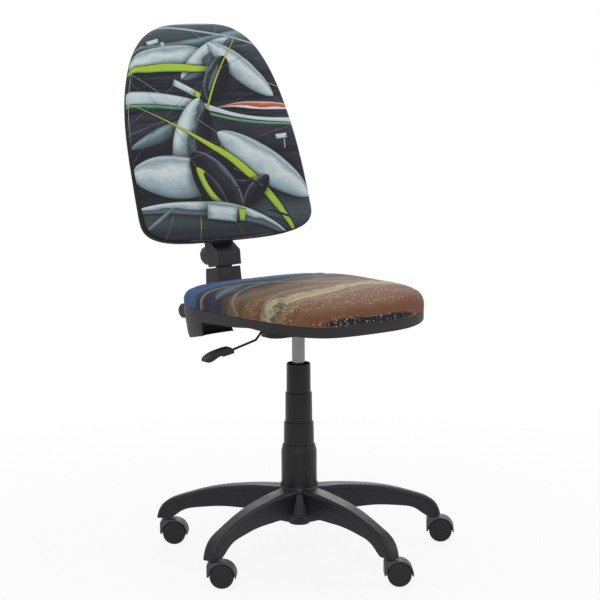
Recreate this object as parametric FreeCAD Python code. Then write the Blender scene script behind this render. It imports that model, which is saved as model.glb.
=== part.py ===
import FreeCAD, Part
import math
import os

from FreeCAD import Vector

# Children's swivel task chair on a five-arm castor base.
# Millimetres. Origin on the floor at the column axis, +Z up, the chair faces -Y,
# the sitter's right hand is on the -X side.

# Shared values
UP = Vector(0, 0, 1)
SIDEWAYS = Vector(1, 0, 0)
DEPTHWISE = Vector(0, 1, 0)
ORIGIN = Vector(0, 0, 0)

overrun = 2.0
running_gap = 0.05
loose_gap = 0.4
small_gap = 0.2
full_turn = 360.0
right_angle = 90.0
half = 0.5
twice = 2.0

# Base star
arm_count = 5
first_arm_deg = -17.23
arm_pitch_deg = full_turn / arm_count
castor_circle_radius = 309.0

arm_stations = [
    # top (r, z), bottom (r, z), width, corner radius
    ((30.0, 151.0), (30.0, 92.0), 44.0, 6.0),
    ((87.0, 148.5), (87.0, 93.5), 41.0, 6.0),
    ((124.0, 145.5), (120.0, 95.5), 38.0, 6.0),
    ((161.0, 141.0), (158.0, 96.0), 35.5, 6.0),
    ((198.0, 134.0), (194.0, 93.5), 33.0, 6.0),
    ((235.0, 124.0), (226.0, 89.0), 31.5, 6.0),
    ((272.0, 111.5), (252.5, 84.0), 31.0, 6.5),
    ((302.5, 98.0), (272.0, 74.5), 31.0, 7.0),
    ((319.0, 80.5), (283.0, 66.0), 31.0, 8.0),
    ((326.5, 58.0), (294.5, 58.0), 30.5, 8.0),
]
arm_band_depth = 9.5
arm_band_step = 1.8
arm_wall = 3.6
arm_roof = 4.6
arm_hollow_stations = [1, 2, 3, 4, 5, 6]
arm_rib_radii = [110.0, 165.0, 215.0]
arm_rib_thickness = 3.0
arm_rib_rise = 6.0

hub_bottom_z = 98.0
hub_top_z = 152.0
hub_skirt_radius = 58.0
hub_skirt_top_radius = 43.5
hub_skirt_top_z = 146.0
hub_ring_radius = 40.5
hub_ring_top_z = 157.5
hub_web_rib_width = 14.0
hub_web_rib_depth = 4.0
hub_web_rib_low_z = 100.0
hub_web_rib_high_z = 141.0

# Column
taper_half_deg = 0.719
taper_slope = math.tan(math.radians(taper_half_deg))
tube_radius = 25.0
tube_bore_radius = 23.0
tube_bottom_z = 67.0
tube_plate_low_z = 70.5
tube_plate_top_z = 74.5
tube_top_z = 262.0
tube_end_round = 2.5
bush_low_z = 196.0
bush_flange_thickness = 4.0
rod_radius = 5.0
rod_neck_radius = 4.0
rod_bottom_z = 67.5
rod_shoulder_z = 78.0
rod_top_z = 226.0
piston_radius = 11.5
piston_thickness = 10.0
bearing_low_radius = 4.3
bearing_radius = 12.0
bearing_groove_radius = 1.2
clip_thickness = 1.5
clip_radius = 8.0
clip_low_z = 68.6
clip_groove_depth = 0.8
clip_mouth = 4.0
bump_radius = 14.0
bump_top_z = 84.0
bump_waist = 2.0
cylinder_radius = 14.0
cylinder_bore_radius = 12.0
cylinder_low_z = 200.0
cylinder_end_wall = 6.0
cylinder_bore_top_z = 478.0
cylinder_edge = 1.5
taper_low_z = 482.0
taper_top_z = 520.0
pin_radius = 4.0
pin_low_z = 493.0
pin_bore_low_z = 484.0
pin_top_z = 526.0
pin_edge = 1.0
lift_travel = 115.0

# Telescopic cover sections: foot and top heights, foot and top radii
cover_wall = 2.0
cover_lip = 2.5
cover_1_low_z = hub_ring_top_z
cover_1_shoulder_z = 228.0
cover_1_top_z = 243.0
cover_1_radius = 38.2
cover_1_top_radius = 34.8
cover_2_low_z = 214.0
cover_2_top_z = 292.0
cover_2_low_radius = 33.0
cover_2_top_radius = 31.9
cover_3_low_z = 266.0
cover_3_top_z = 356.0
cover_3_low_radius = 29.4
cover_3_top_radius = 28.5
cover_4_low_z = 330.0
cover_4_top_z = 419.5
cover_4_low_radius = 26.3
cover_4_top_radius = 25.6
cover_rim_edge = 1.2

# Castors
castor_trail_degs = [-39.0, -39.0, -39.0, -39.0, -34.0]
castor_trail = 19.5
wheel_radius = 25.0
wheel_width = 16.5
wheel_dome = 1.6
wheel_rim_round = 3.0
wheel_tread_wall = 4.0
wheel_hub_radius = 7.0
wheel_web = 3.0
wheel_side_gap = 0.5
castor_web = 6.0
hood_clearance = 1.6
hood_wall = 3.0
hood_front = 31.0
hood_top_z = 56.0
hood_corner = 6.0
hood_tail_deg = -6.0
hood_front_low_z = 24.0
hood_side_cover = 3.0
axle_radius = 3.0
axle_end_gap = 1.0
stem_radius = 5.5
stem_top_z = 82.0
stem_edge = 1.0
stem_collar_radius = 8.5
stem_collar_low_z = 56.4
stem_journal_radius = 4.0
stem_journal_low_z = 46.0
stem_head_radius = 4.8
stem_head_height = 2.0
leg_underside_z = 58.0

# Seat
seat_half_width = 220.0
seat_front_depth = 225.0
seat_rear_depth = 231.0
seat_centre_y = -33.0
seat_front_power = 3.45
seat_rear_power = 3.9
seat_rear_widening = 0.038
outline_point_count = 40
curve_degree = 3

seat_roll_start_y = -160.0
seat_roll_radius = 350.0
seat_edge_z = 550.0
seat_board_low_z = 536.0
seat_board_thickness = 12.0
seat_board_inset = 9.0
shell_floor_thickness = 4.0
shell_wall = 3.0
shell_inset = 4.0
shell_edge_gap = 0.8
shell_lip_drop = 3.5
shell_lip_rear_y = -125.0
shell_lip_full_y = -210.0
shell_lip_room = 20.0

seat_pad_rings = [
    # inset of the outline, share of the outline, rise above the fabric edge
    (3.0, 1.0, 0.0),
    (0.5, 1.0, 8.0),
    (0.5, 1.0, 16.0),
    (5.0, 1.0, 26.0),
    (14.0, 1.0, 32.5),
    (14.0, 0.84, 37.0),
    (14.0, 0.52, 41.5),
    (14.0, 0.05, 43.5),
]
seat_front_swell = 0.11
seat_swell_front_y = -90.0
seat_swell_rear_y = 120.0
seat_pad_foot_inset = 5.0
seat_pad_foot_z = 500.0
fabric_thickness = 1.6
fabric_gap = 0.1

apron_low_z = 470.5
apron_front_y = 50.0
apron_front_low_z = 493.0
apron_level_y = 160.0
apron_draft = 8.0
apron_lip_rings = [
    # drop below the shell's floor as a share of the apron's height, extra inset
    (0.74, 0.0),
    (0.88, 1.6),
    (0.96, 4.4),
    (1.0, 8.5),
]
skirt_rise_y = -115.0
skirt_level_y = -75.0
skirt_level_z = 528.0
skirt_low_z = 523.0
apron_gap_half_width = 48.0
opening_half_width = 98.0
opening_front_y = -88.0
opening_rear_y = 118.0
channel_opening_half_width = 36.0

# fasteners through the seat board
seat_bolt_x = 72.0
seat_bolt_ys = [-58.0, 88.0]
arm_bolt_x = 168.0
arm_bolt_ys = [-10.0, 70.0]
tee_barrel_radius = 4.2
tee_bore_radius = 3.0
tee_flange_radius = 9.5
tee_flange_thickness = 1.2
bolt_gap = 0.05
bolt_head_radius = 6.5
bolt_head_height = 5.0
bolt_socket_radius = 2.6
bolt_socket_depth = 2.6
arm_hole_radius = 5.5
shell_screw_points = [(-150.0, -120.0), (150.0, -120.0), (-160.0, 140.0), (160.0, 140.0)]
shell_screw_radius = 1.9
shell_screw_head_radius = 4.0
shell_screw_head_height = 2.2
shell_screw_depth = 8.0

# Mechanism under the seat
mech_half_width = 88.0
mech_front_y = -35.0
mech_rear_y = 30.0
mech_corner = 25.0
mech_low_z = 484.0
mech_wall = 3.0
mech_flange_half_width = 92.0
mech_flange_front_y = -82.0
mech_flange_rear_y = 110.0
mech_flange_thickness = 3.0
mech_flange_corner = 12.0
socket_radius = 21.0
socket_low_z = 481.0
channel_half_width = 31.0
channel_low_z = 492.0
channel_top_z = 525.0
channel_rear_y = 290.0
channel_wall = 3.0
channel_nose = 16.0
mech_lever_slot_half_depth = 6.0
mech_lever_slot_low_z = 518.0
mech_lever_slot_high_z = 533.0

# Height lever
lever_radius = 2.5
lever_inner_x = 7.0
lever_level_z = 528.9
lever_pivot_x = -45.0
lever_elbow_x = -66.0
lever_bend_x = -110.5
lever_bend_z = 481.0
lever_grip_x = -166.0
lever_grip_z = 467.5
lever_end_x = -190.0
lever_end_z = 461.5
lever_saddle_half_width = 5.0
lever_saddle_half_depth = 9.0
lever_saddle_low_z = 522.0
lever_saddle_gap = 0.7
grip_paddle_side = [
    # (x, z) along the top of the paddle, round its tip and back to the step
    (-180.5, 474.0), (-192.0, 472.6), (-206.0, 469.8), (-222.0, 465.2), (-235.0, 459.8), (-242.0, 455.4),
    (-244.0, 451.6), (-241.0, 448.8), (-235.0, 448.2), (-226.0, 451.0), (-216.0, 455.6), (-205.0, 459.0)]
grip_block_side = [(-200.5, 456.5), (-172.0, 460.4), (-172.0, 468.0)]
grip_plan = [
    # (x, y) along one long side, round the tip and back
    (-170.0, -9.0), (-185.0, -9.6), (-205.0, -11.2), (-224.0, -12.6), (-238.0, -10.6), (-245.6, -4.6),
    (-245.6, 4.6), (-238.0, 10.6), (-224.0, 12.6), (-205.0, 11.2), (-185.0, 9.6), (-170.0, 9.0)]
grip_cut_reach = 30.0
grip_hole_reach = 8.0

# Back tilt
tilt_y = 272.0
tilt_z = 509.0
tilt_bolt_radius = 4.0
tilt_bolt_head_radius = 7.0
tilt_bolt_head_height = 5.0
tilt_knob_radius = 16.0
tilt_knob_inner_x = -90.0
tilt_knob_outer_x = -120.0
tilt_knob_neck_radius = 9.0
tilt_knob_edge = 3.0
tilt_knob_lobes = 8
tilt_knob_lobe_radius = 4.0
tilt_knob_lobe_depth = 1.4
tilt_bolt_in_knob = 22.0

# Back bar
recline_deg = 17.3
recline_sin = math.sin(math.radians(recline_deg))
recline_cos = math.cos(math.radians(recline_deg))
back_foot_y = 245.0
back_foot_z = 658.0
bar_half_width = 20.0
bar_thickness = 6.0
bar_depth = 52.0
bar_top_t = 106.0
bar_bend_z = 603.0
bar_eye_radius = 13.0
bar_bend_radius = 60.0
bar_boss_half_width = 27.5
bar_boss_radius = 11.0

# lower cover of the bar: (y, z) side outline
sleeve_outline = [(246.0, 532.0), (258.5, 599.0), (309.5, 590.5), (310.0, 532.0)]
sleeve_half_width = 31.5
sleeve_wall = 2.5
sleeve_corner = 4.0
sleeve_recess_depth = 5.0
sleeve_recess_from_x = 1.0

# Height bracket on the backrest: (depth, t) side outline
bracket_outline = [
    (27.5, -49.0), (22.0, -17.0), (40.4, 2.0), (40.4, 118.0), (66.0, 118.0), (73.0, 92.0), (73.0, -44.0)]
bracket_half_width = 30.0
bracket_corner = 5.0
bracket_flange_half_width = 55.0
bracket_flange_low_t = 22.0
bracket_flange_high_t = 112.0
bracket_flange_thickness = 6.0
bracket_slot_gap = 0.5
height_travel = 60.0
height_knob_t = -13.0
height_knob_radius = 22.5
height_knob_near = 75.0
height_knob_far = 111.0
height_knob_edge = 4.0
height_knob_lobes = 10
height_knob_lobe_radius = 5.0
height_knob_lobe_depth = 1.6
height_stud_radius = 4.0
height_stud_gap = 0.3

# Backrest
back_half_width = 226.0
back_height = 500.0
back_widest_share = 0.16
back_low_power = 3.5
back_high_power = 4.2
back_taper = 0.32
back_wrap = 12.0
back_hollow = 6.0
back_hollow_start_t = 122.0
back_centre_share = 0.48

back_pad_rings = [
    # inset, share, depth behind the front edge plane (negative is forward)
    (3.0, 1.0, 22.0),
    (0.5, 1.0, 15.0),
    (0.5, 1.0, 8.0),
    (4.0, 1.0, 1.0),
    (12.0, 1.0, -3.5),
    (12.0, 0.84, -7.0),
    (12.0, 0.52, -9.5),
    (12.0, 0.05, -10.5),
]
back_pad_foot_inset = 5.0
back_pad_foot_depth = 70.0
back_board_depth = 22.0
back_board_thickness = 8.0
back_board_inset = 18.0
back_shell_rings = [
    (3.5, 1.0, 22.6),
    (4.0, 1.0, 28.0),
    (9.0, 1.0, 33.5),
    (20.0, 1.0, 37.0),
    (20.0, 0.8, 39.0),
    (20.0, 0.45, 40.0),
    (20.0, 0.05, 40.0),
]
back_shell_foot_inset = 3.5
back_shell_foot_depth = -30.0
back_shell_wall = 3.0
cutter_shares = [0.05, 0.3, 0.6, 0.9, 1.2, 1.5]
cutter_seam_shift = 7
back_screw_x = 44.0
back_screw_ts = [34.0, 100.0]
back_screw_radius = 2.9
back_screw_head_radius = 6.0
back_screw_head_height = 3.5
back_screw_end_depth = 24.0


# Small builders
def block(x0, x1, y0, y1, z0, z1):
    return Part.makeBox(x1 - x0, y1 - y0, z1 - z0, Vector(x0, y0, z0))


def upright(radius, z0, z1, x=0, y=0):
    return Part.makeCylinder(radius, z1 - z0, Vector(x, y, z0), UP)


def lengthwise(radius, x0, x1, y, z):
    return Part.makeCylinder(radius, x1 - x0, Vector(x0, y, z), SIDEWAYS)


def polygon(points):
    return Part.makePolygon(points + [points[0]])


def turned(profile):
    """Solid of revolution about the Z axis from (radius, z) points."""
    wire = polygon([Vector(r, 0, z) for r, z in profile])
    return Part.Face(wire).revolve(ORIGIN, UP, full_turn)


def across_x(outline, x0, x1):
    """Solid from a (y, z) outline drawn out along X."""
    wire = polygon([Vector(x0, y, z) for y, z in outline])
    return Part.Face(wire).extrude(Vector(x1 - x0, 0, 0))


def rounded_block(x0, x1, y0, y1, z0, z1, radius):
    solid = block(x0, x1, y0, y1, z0, z1)
    return solid.makeFillet(radius, edges_along(solid, UP))


def edges_along(solid, direction):
    found = []
    for edge in solid.Edges:
        if edge.isClosed():
            continue
        run = edge.Vertexes[-1].Point - edge.Vertexes[0].Point
        if run.Length and abs(run.dot(direction)) > run.Length - running_gap:
            found.append(edge)
    return found


def turned_about(shape, degrees, centre=ORIGIN, axis=UP):
    copy = shape.copy()
    copy.rotate(centre, axis, degrees)
    return copy


def moved(shape, x, y, z):
    copy = shape.copy()
    copy.translate(Vector(x, y, z))
    return copy


def joined(shapes):
    first = shapes[0]
    return first.fuse(shapes[1:]).removeSplitter()


def save(name, shape):
    os.makedirs("parts", exist_ok=True)
    shape.exportStep("parts/" + name + ".step")


# Base star
def arm_wire(top, bottom, width, corner):
    """Cross-section of an arm: a rounded top band over slightly recessed sides."""
    rise = Vector(top[0] - bottom[0], 0, top[1] - bottom[1])
    height = rise.Length
    rise.normalize()
    foot = Vector(bottom[0], 0, bottom[1])
    w = width * half
    s = arm_band_step
    band = arm_band_depth
    diagonal = corner * (1 - math.sqrt(half))

    def at(u, v):
        return foot + rise * v + DEPTHWISE * u

    edges = [
        Part.makeLine(at(-w + s, 0), at(-w + s, height - band - s)),
        Part.makeLine(at(-w + s, height - band - s), at(-w, height - band)),
        Part.makeLine(at(-w, height - band), at(-w, height - corner)),
        Part.Arc(at(-w, height - corner), at(-w + diagonal, height - diagonal),
                 at(-w + corner, height)).toShape(),
        Part.makeLine(at(-w + corner, height), at(w - corner, height)),
        Part.Arc(at(w - corner, height), at(w - diagonal, height - diagonal),
                 at(w, height - corner)).toShape(),
        Part.makeLine(at(w, height - corner), at(w, height - band)),
        Part.makeLine(at(w, height - band), at(w - s, height - band - s)),
        Part.makeLine(at(w - s, height - band - s), at(w - s, 0)),
        Part.makeLine(at(w - s, 0), at(-w + s, 0)),
    ]
    return Part.Wire(edges)


def arm_hollow_wire(top, bottom, width):
    rise = Vector(top[0] - bottom[0], 0, top[1] - bottom[1])
    height = rise.Length - arm_roof
    rise.normalize()
    foot = Vector(bottom[0], 0, bottom[1])
    w = width * half - arm_band_step - arm_wall
    corners = [(-w, -overrun), (-w, height), (w, height), (w, -overrun)]
    return polygon([foot + rise * v + DEPTHWISE * u for u, v in corners])


def base_arm():
    body = Part.makeLoft([arm_wire(*station) for station in arm_stations], True)
    hollow_wires = []
    for index in arm_hollow_stations:
        top, bottom, width, corner = arm_stations[index]
        hollow_wires.append(arm_hollow_wire(top, bottom, width))
    hollow = Part.makeLoft(hollow_wires, True)
    ribs = []
    for radius in arm_rib_radii:
        ribs.append(block(radius, radius + arm_rib_thickness, -hub_skirt_radius, hub_skirt_radius,
                          hub_bottom_z + arm_rib_rise, hub_ring_top_z))
    hollow = hollow.cut(Part.makeCompound(ribs))
    body = body.cut(hollow)
    socket = upright(stem_radius, leg_underside_z - overrun, stem_top_z, castor_circle_radius)
    return body.cut(socket)


def taper_radius(z):
    return tube_radius - (hub_top_z - z) * taper_slope


def base_star():
    arm = base_arm()
    pieces = [turned_about(arm, first_arm_deg + arm_pitch_deg * k) for k in range(arm_count)]
    hub = turned([
        (0, hub_bottom_z), (hub_skirt_radius, hub_bottom_z), (hub_skirt_top_radius, hub_skirt_top_z),
        (hub_ring_radius, hub_top_z), (hub_ring_radius, hub_ring_top_z), (0, hub_ring_top_z)])
    pieces.append(hub)
    rib_reach = hub_skirt_radius + hub_web_rib_depth
    rib = block(tube_radius + overrun, rib_reach, -hub_web_rib_width * half, hub_web_rib_width * half,
                hub_web_rib_low_z, hub_web_rib_high_z)
    taper_share = (hub_web_rib_high_z - hub_bottom_z) / (hub_skirt_top_z - hub_bottom_z)
    lean = (hub_skirt_radius - hub_skirt_top_radius) * taper_share
    leaning = across_x([(tube_radius, hub_web_rib_low_z), (rib_reach, hub_web_rib_low_z),
                        (rib_reach - lean, hub_web_rib_high_z), (tube_radius, hub_web_rib_high_z)],
                       -hub_web_rib_width * half, hub_web_rib_width * half)
    leaning = turned_about(leaning, -right_angle)
    rib = rib.common(leaning)
    for k in range(arm_count):
        pieces.append(turned_about(rib, first_arm_deg + arm_pitch_deg * (k + half)))
    star = joined(pieces)
    bore = turned([
        (0, hub_bottom_z - overrun), (taper_radius(hub_bottom_z - overrun), hub_bottom_z - overrun),
        (tube_radius, hub_top_z), (tube_radius, hub_ring_top_z + overrun), (0, hub_ring_top_z + overrun)])
    return star.cut(bore)


# Column
def column_tube():
    low_radius = taper_radius(tube_bottom_z)
    profile = [
        (tube_bore_radius - cover_wall, tube_bottom_z), (low_radius - tube_end_round, tube_bottom_z),
        (low_radius, tube_bottom_z + tube_end_round), (taper_radius(hub_bottom_z), hub_bottom_z),
        (tube_radius, hub_top_z), (tube_radius, tube_top_z), (tube_bore_radius, tube_top_z),
        (tube_bore_radius, tube_plate_top_z), (rod_neck_radius + small_gap, tube_plate_top_z),
        (rod_neck_radius + small_gap, tube_plate_low_z), (tube_bore_radius - cover_wall, tube_plate_low_z)]
    return turned(profile)


def guide_bush():
    bore = cylinder_radius + running_gap
    return turned([
        (bore, bush_low_z), (tube_bore_radius, bush_low_z), (tube_bore_radius, tube_top_z),
        (tube_radius, tube_top_z), (tube_radius, tube_top_z + bush_flange_thickness * half),
        (tube_bore_radius, tube_top_z + bush_flange_thickness), (bore, tube_top_z + bush_flange_thickness)])


def thrust_bearing():
    top = rod_shoulder_z - running_gap
    middle = (tube_plate_top_z + top) * half
    groove = bearing_groove_radius
    inner = bearing_low_radius
    outer = bearing_radius
    return turned([
        (inner, tube_plate_top_z), (outer, tube_plate_top_z), (outer, middle - groove * half),
        (outer - groove, middle), (outer, middle + groove * half), (outer, top), (inner, top)])


def piston_rod():
    clip_top = clip_low_z + clip_thickness
    groove = rod_neck_radius - clip_groove_depth
    piston_low = rod_top_z - piston_thickness
    return turned([
        (0, rod_bottom_z), (rod_neck_radius, rod_bottom_z), (rod_neck_radius, clip_low_z),
        (groove, clip_low_z), (groove, clip_top), (rod_neck_radius, clip_top),
        (rod_neck_radius, rod_shoulder_z),
        (rod_radius, rod_shoulder_z), (rod_radius, piston_low), (piston_radius, piston_low),
        (piston_radius, rod_top_z), (0, rod_top_z)])


def rod_clip():
    groove = rod_neck_radius - clip_groove_depth
    ring = upright(clip_radius, clip_low_z, clip_low_z + clip_thickness)
    ring = ring.cut(upright(groove, clip_low_z - overrun, clip_low_z + clip_thickness + overrun))
    mouth = block(0, clip_radius + overrun, -clip_mouth * half, clip_mouth * half,
                  clip_low_z - overrun, clip_low_z + clip_thickness + overrun)
    return ring.cut(mouth)


def bump_stop():
    low = rod_shoulder_z + small_gap
    waist = (low + bump_top_z) * half
    bore = rod_radius
    return turned([
        (bore, low), (bump_radius, low), (bump_radius - bump_waist, waist),
        (bump_radius - bump_waist * half, bump_top_z), (bore, bump_top_z)])


def gas_cylinder():
    top_radius = cylinder_radius - (taper_top_z - taper_low_z) * taper_slope
    shell = turned([
        (rod_radius + running_gap, cylinder_low_z), (cylinder_radius - cylinder_edge, cylinder_low_z),
        (cylinder_radius, cylinder_low_z + cylinder_edge), (cylinder_radius, taper_low_z),
        (top_radius, taper_top_z), (pin_radius + running_gap, taper_top_z),
        (pin_radius + running_gap, pin_bore_low_z), (0, pin_bore_low_z), (0, cylinder_bore_top_z),
        (cylinder_bore_radius, cylinder_bore_top_z),
        (cylinder_bore_radius, cylinder_low_z + cylinder_end_wall),
        (rod_radius + running_gap, cylinder_low_z + cylinder_end_wall)])
    return shell


def release_pin():
    return turned([
        (0, pin_low_z), (pin_radius - pin_edge, pin_low_z), (pin_radius, pin_low_z + pin_edge),
        (pin_radius, pin_top_z - pin_edge), (pin_radius - pin_edge, pin_top_z), (0, pin_top_z)])


def cover_tube(low_z, top_z, low_radius, top_radius, foot_reach, lip_radius):
    """A slightly tapered sleeve with an outward foot lip and an inward top lip."""
    foot = [(low_radius - cover_wall, low_z), (low_radius, low_z)]
    if foot_reach > low_radius:
        foot = [(low_radius - cover_wall, low_z), (foot_reach, low_z), (foot_reach, low_z + cover_lip),
                (low_radius, low_z + cover_lip)]
    profile = foot + [
        (top_radius, top_z - cover_rim_edge), (top_radius - cover_rim_edge, top_z),
        (lip_radius, top_z), (lip_radius, top_z - cover_lip), (top_radius - cover_wall, top_z - cover_lip)]
    return turned(profile)


def radius_at(z, low_z, top_z, low_radius, top_radius):
    return low_radius + (top_radius - low_radius) * (z - low_z) / (top_z - low_z)


def cover_sections():
    crossing_2 = radius_at(cover_1_top_z - cover_lip, cover_2_low_z, cover_2_top_z,
                           cover_2_low_radius, cover_2_top_radius)
    crossing_3 = radius_at(cover_2_top_z - cover_lip, cover_3_low_z, cover_3_top_z,
                           cover_3_low_radius, cover_3_top_radius)
    crossing_4 = radius_at(cover_3_top_z - cover_lip, cover_4_low_z, cover_4_top_z,
                           cover_4_low_radius, cover_4_top_radius)
    bore_1 = cover_1_radius - cover_wall
    lip_1 = crossing_2 + loose_gap
    section_1 = turned([
        (bore_1, cover_1_low_z), (cover_1_radius, cover_1_low_z), (cover_1_radius, cover_1_shoulder_z),
        (cover_1_top_radius, cover_1_top_z), (lip_1, cover_1_top_z), (lip_1, cover_1_top_z - cover_lip),
        (bore_1, cover_1_shoulder_z - cover_lip)])
    foot_2 = bore_1 - loose_gap
    section_2 = cover_tube(cover_2_low_z, cover_2_top_z, cover_2_low_radius, cover_2_top_radius,
                           foot_2, crossing_3 + loose_gap)
    foot_3 = cover_2_top_radius - cover_wall - loose_gap
    section_3 = cover_tube(cover_3_low_z, cover_3_top_z, cover_3_low_radius, cover_3_top_radius,
                           foot_3, crossing_4 + loose_gap)
    foot_4 = cover_3_top_radius - cover_wall - loose_gap
    section_4 = cover_tube(cover_4_low_z, cover_4_top_z, cover_4_low_radius, cover_4_top_radius,
                           foot_4, cover_4_top_radius - cover_wall)
    return [section_1, section_2, section_3, section_4]


# Castors
# Each castor is drawn with its stem on the Z axis and its axle ahead along +X.
def castor_hood():
    cx = castor_trail
    cz = wheel_radius
    outer = wheel_radius + hood_clearance + hood_wall
    front_x = cx - hood_front
    tail = math.radians(hood_tail_deg)
    quarter = math.radians(right_angle * half)
    top_x = cx
    crown_z = cz + outer
    low_z = hood_front_low_z
    half_width = castor_web * half + wheel_width + wheel_dome - hood_side_cover

    def on_rim(angle, radius):
        return Vector(cx + radius * math.cos(angle), 0, cz + radius * math.sin(angle))

    corner_x = front_x + hood_corner
    edges = [
        Part.makeLine(Vector(front_x, 0, low_z), Vector(front_x, 0, crown_z - hood_corner)),
        Part.makeLine(Vector(front_x, 0, crown_z - hood_corner), Vector(corner_x, 0, crown_z)),
        Part.makeLine(Vector(corner_x, 0, crown_z), Vector(top_x, 0, crown_z)),
        Part.Arc(Vector(top_x, 0, crown_z), on_rim(quarter, outer), on_rim(tail, outer)).toShape(),
        Part.makeLine(on_rim(tail, outer), Vector(cx, 0, cz)),
        Part.makeLine(Vector(cx, 0, cz), Vector(cx, 0, low_z - axle_radius)),
        Part.makeLine(Vector(cx, 0, low_z - axle_radius), Vector(front_x, 0, low_z)),
    ]
    side = Part.Face(Part.Wire(edges))
    body = side.extrude(DEPTHWISE * (half_width * twice))
    body.translate(DEPTHWISE * -half_width)
    hub = Part.makeCylinder(wheel_hub_radius, castor_web, Vector(cx, -castor_web * half, cz), DEPTHWISE)
    body = body.fuse(hub)
    pocket_radius = wheel_radius + hood_clearance
    pocket_depth = half_width + overrun - castor_web * half
    for side_sign in (-1, 1):
        start = castor_web * half if side_sign > 0 else -castor_web * half - pocket_depth
        pocket = Part.makeCylinder(pocket_radius, pocket_depth, Vector(cx, start, cz), DEPTHWISE)
        body = body.cut(pocket)
    bore = Part.makeCylinder(axle_radius, castor_web + overrun * twice,
                             Vector(cx, -castor_web * half - overrun, cz), DEPTHWISE)
    body = body.cut(bore)
    bore_radius = stem_journal_radius + running_gap
    journal_bore = upright(bore_radius, stem_journal_low_z - small_gap, hood_top_z + overrun)
    head_room = upright(stem_head_radius + small_gap, stem_journal_low_z - small_gap,
                        stem_journal_low_z + stem_head_height + small_gap)
    return body.cut(journal_bore).cut(head_room).removeSplitter()


def castor_stem():
    collar_top = leg_underside_z
    return turned([
        (0, stem_journal_low_z), (stem_head_radius, stem_journal_low_z),
        (stem_journal_radius, stem_journal_low_z + stem_head_height),
        (stem_journal_radius, stem_collar_low_z), (stem_collar_radius, stem_collar_low_z),
        (stem_collar_radius, collar_top), (stem_radius, collar_top),
        (stem_radius, stem_top_z - stem_edge), (stem_radius - stem_edge, stem_top_z), (0, stem_top_z)])


def castor_axle():
    reach = castor_web * half + wheel_width - wheel_web - axle_end_gap
    start = Vector(castor_trail, -reach, wheel_radius)
    return Part.makeCylinder(axle_radius, reach * twice, start, DEPTHWISE)


def castor_wheel(side_sign):
    """Dished wheel with a domed outer face; the hollow faces the castor's middle web."""
    inner = wheel_side_gap
    outer = wheel_width
    bore = axle_radius + running_gap
    blind = outer - wheel_web + axle_end_gap * half
    tread = wheel_radius - wheel_tread_wall
    face_radius = wheel_radius - wheel_rim_round
    dome_radius = (face_radius * face_radius + wheel_dome * wheel_dome) / (wheel_dome / half)
    dome_angle = math.asin(face_radius / dome_radius)
    profile = [
        Part.makeLine(Vector(bore, 0, inner), Vector(wheel_hub_radius, 0, inner)),
        Part.makeLine(Vector(wheel_hub_radius, 0, inner), Vector(wheel_hub_radius, 0, outer - wheel_web)),
        Part.makeLine(Vector(wheel_hub_radius, 0, outer - wheel_web), Vector(tread, 0, outer - wheel_web)),
        Part.makeLine(Vector(tread, 0, outer - wheel_web), Vector(tread, 0, inner)),
        Part.makeLine(Vector(tread, 0, inner), Vector(wheel_radius, 0, inner)),
        Part.makeLine(Vector(wheel_radius, 0, inner), Vector(wheel_radius, 0, outer - wheel_rim_round)),
        Part.Arc(Vector(wheel_radius, 0, outer - wheel_rim_round),
                 Vector(wheel_radius - wheel_rim_round * (1 - math.sqrt(half)), 0,
                        outer - wheel_rim_round * (1 - math.sqrt(half))),
                 Vector(wheel_radius - wheel_rim_round, 0, outer)).toShape(),
        Part.Arc(Vector(face_radius, 0, outer),
                 Vector(dome_radius * math.sin(dome_angle * half), 0,
                        outer + wheel_dome - dome_radius * (1 - math.cos(dome_angle * half))),
                 Vector(0, 0, outer + wheel_dome)).toShape(),
        Part.makeLine(Vector(0, 0, outer + wheel_dome), Vector(0, 0, blind)),
        Part.makeLine(Vector(0, 0, blind), Vector(bore, 0, blind)),
        Part.makeLine(Vector(bore, 0, blind), Vector(bore, 0, inner)),
    ]
    solid = Part.Face(Part.Wire(profile)).revolve(ORIGIN, UP, full_turn)
    solid.rotate(ORIGIN, SIDEWAYS, -right_angle * side_sign)
    solid.translate(Vector(castor_trail, side_sign * castor_web * half, wheel_radius))
    return solid


def place_castor(shape, arm_deg, trail_deg):
    turned_shape = turned_about(shape, trail_deg)
    angle = math.radians(arm_deg)
    return moved(turned_shape, castor_circle_radius * math.cos(angle),
                 castor_circle_radius * math.sin(angle), 0)


# Seat
def power_point(angle, half_width, low_depth, high_depth, low_power, high_power):
    """Point on a rounded-square outline; the low half and the high half have their own depth and power."""
    c = math.cos(angle)
    s = math.sin(angle)
    power = low_power if s < 0 else high_power
    depth = low_depth if s < 0 else high_depth
    u = half_width * math.copysign(abs(c) ** (twice / power), c)
    v = depth * math.copysign(abs(s) ** (twice / power), s)
    return u, v


def seat_outline(inset, share=1):
    points = []
    for k in range(outline_point_count):
        angle = math.radians(full_turn * (k + half) / outline_point_count)
        u, v = power_point(angle, seat_half_width - inset, seat_front_depth - inset, seat_rear_depth - inset,
                           seat_front_power, seat_rear_power)
        u = u * (1 + seat_rear_widening * v / seat_rear_depth)
        points.append((u * share, seat_centre_y + v * share))
    return points


def closed_curve(points):
    """Smooth closed curve steered by the given points."""
    curve = Part.BSplineCurve()
    count = len(points)
    ones = [1] * (count + 1)
    curve.buildFromPolesMultsKnots(points, ones, list(range(count + 1)), True, curve_degree)
    return Part.Wire(curve.toShape())


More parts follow.
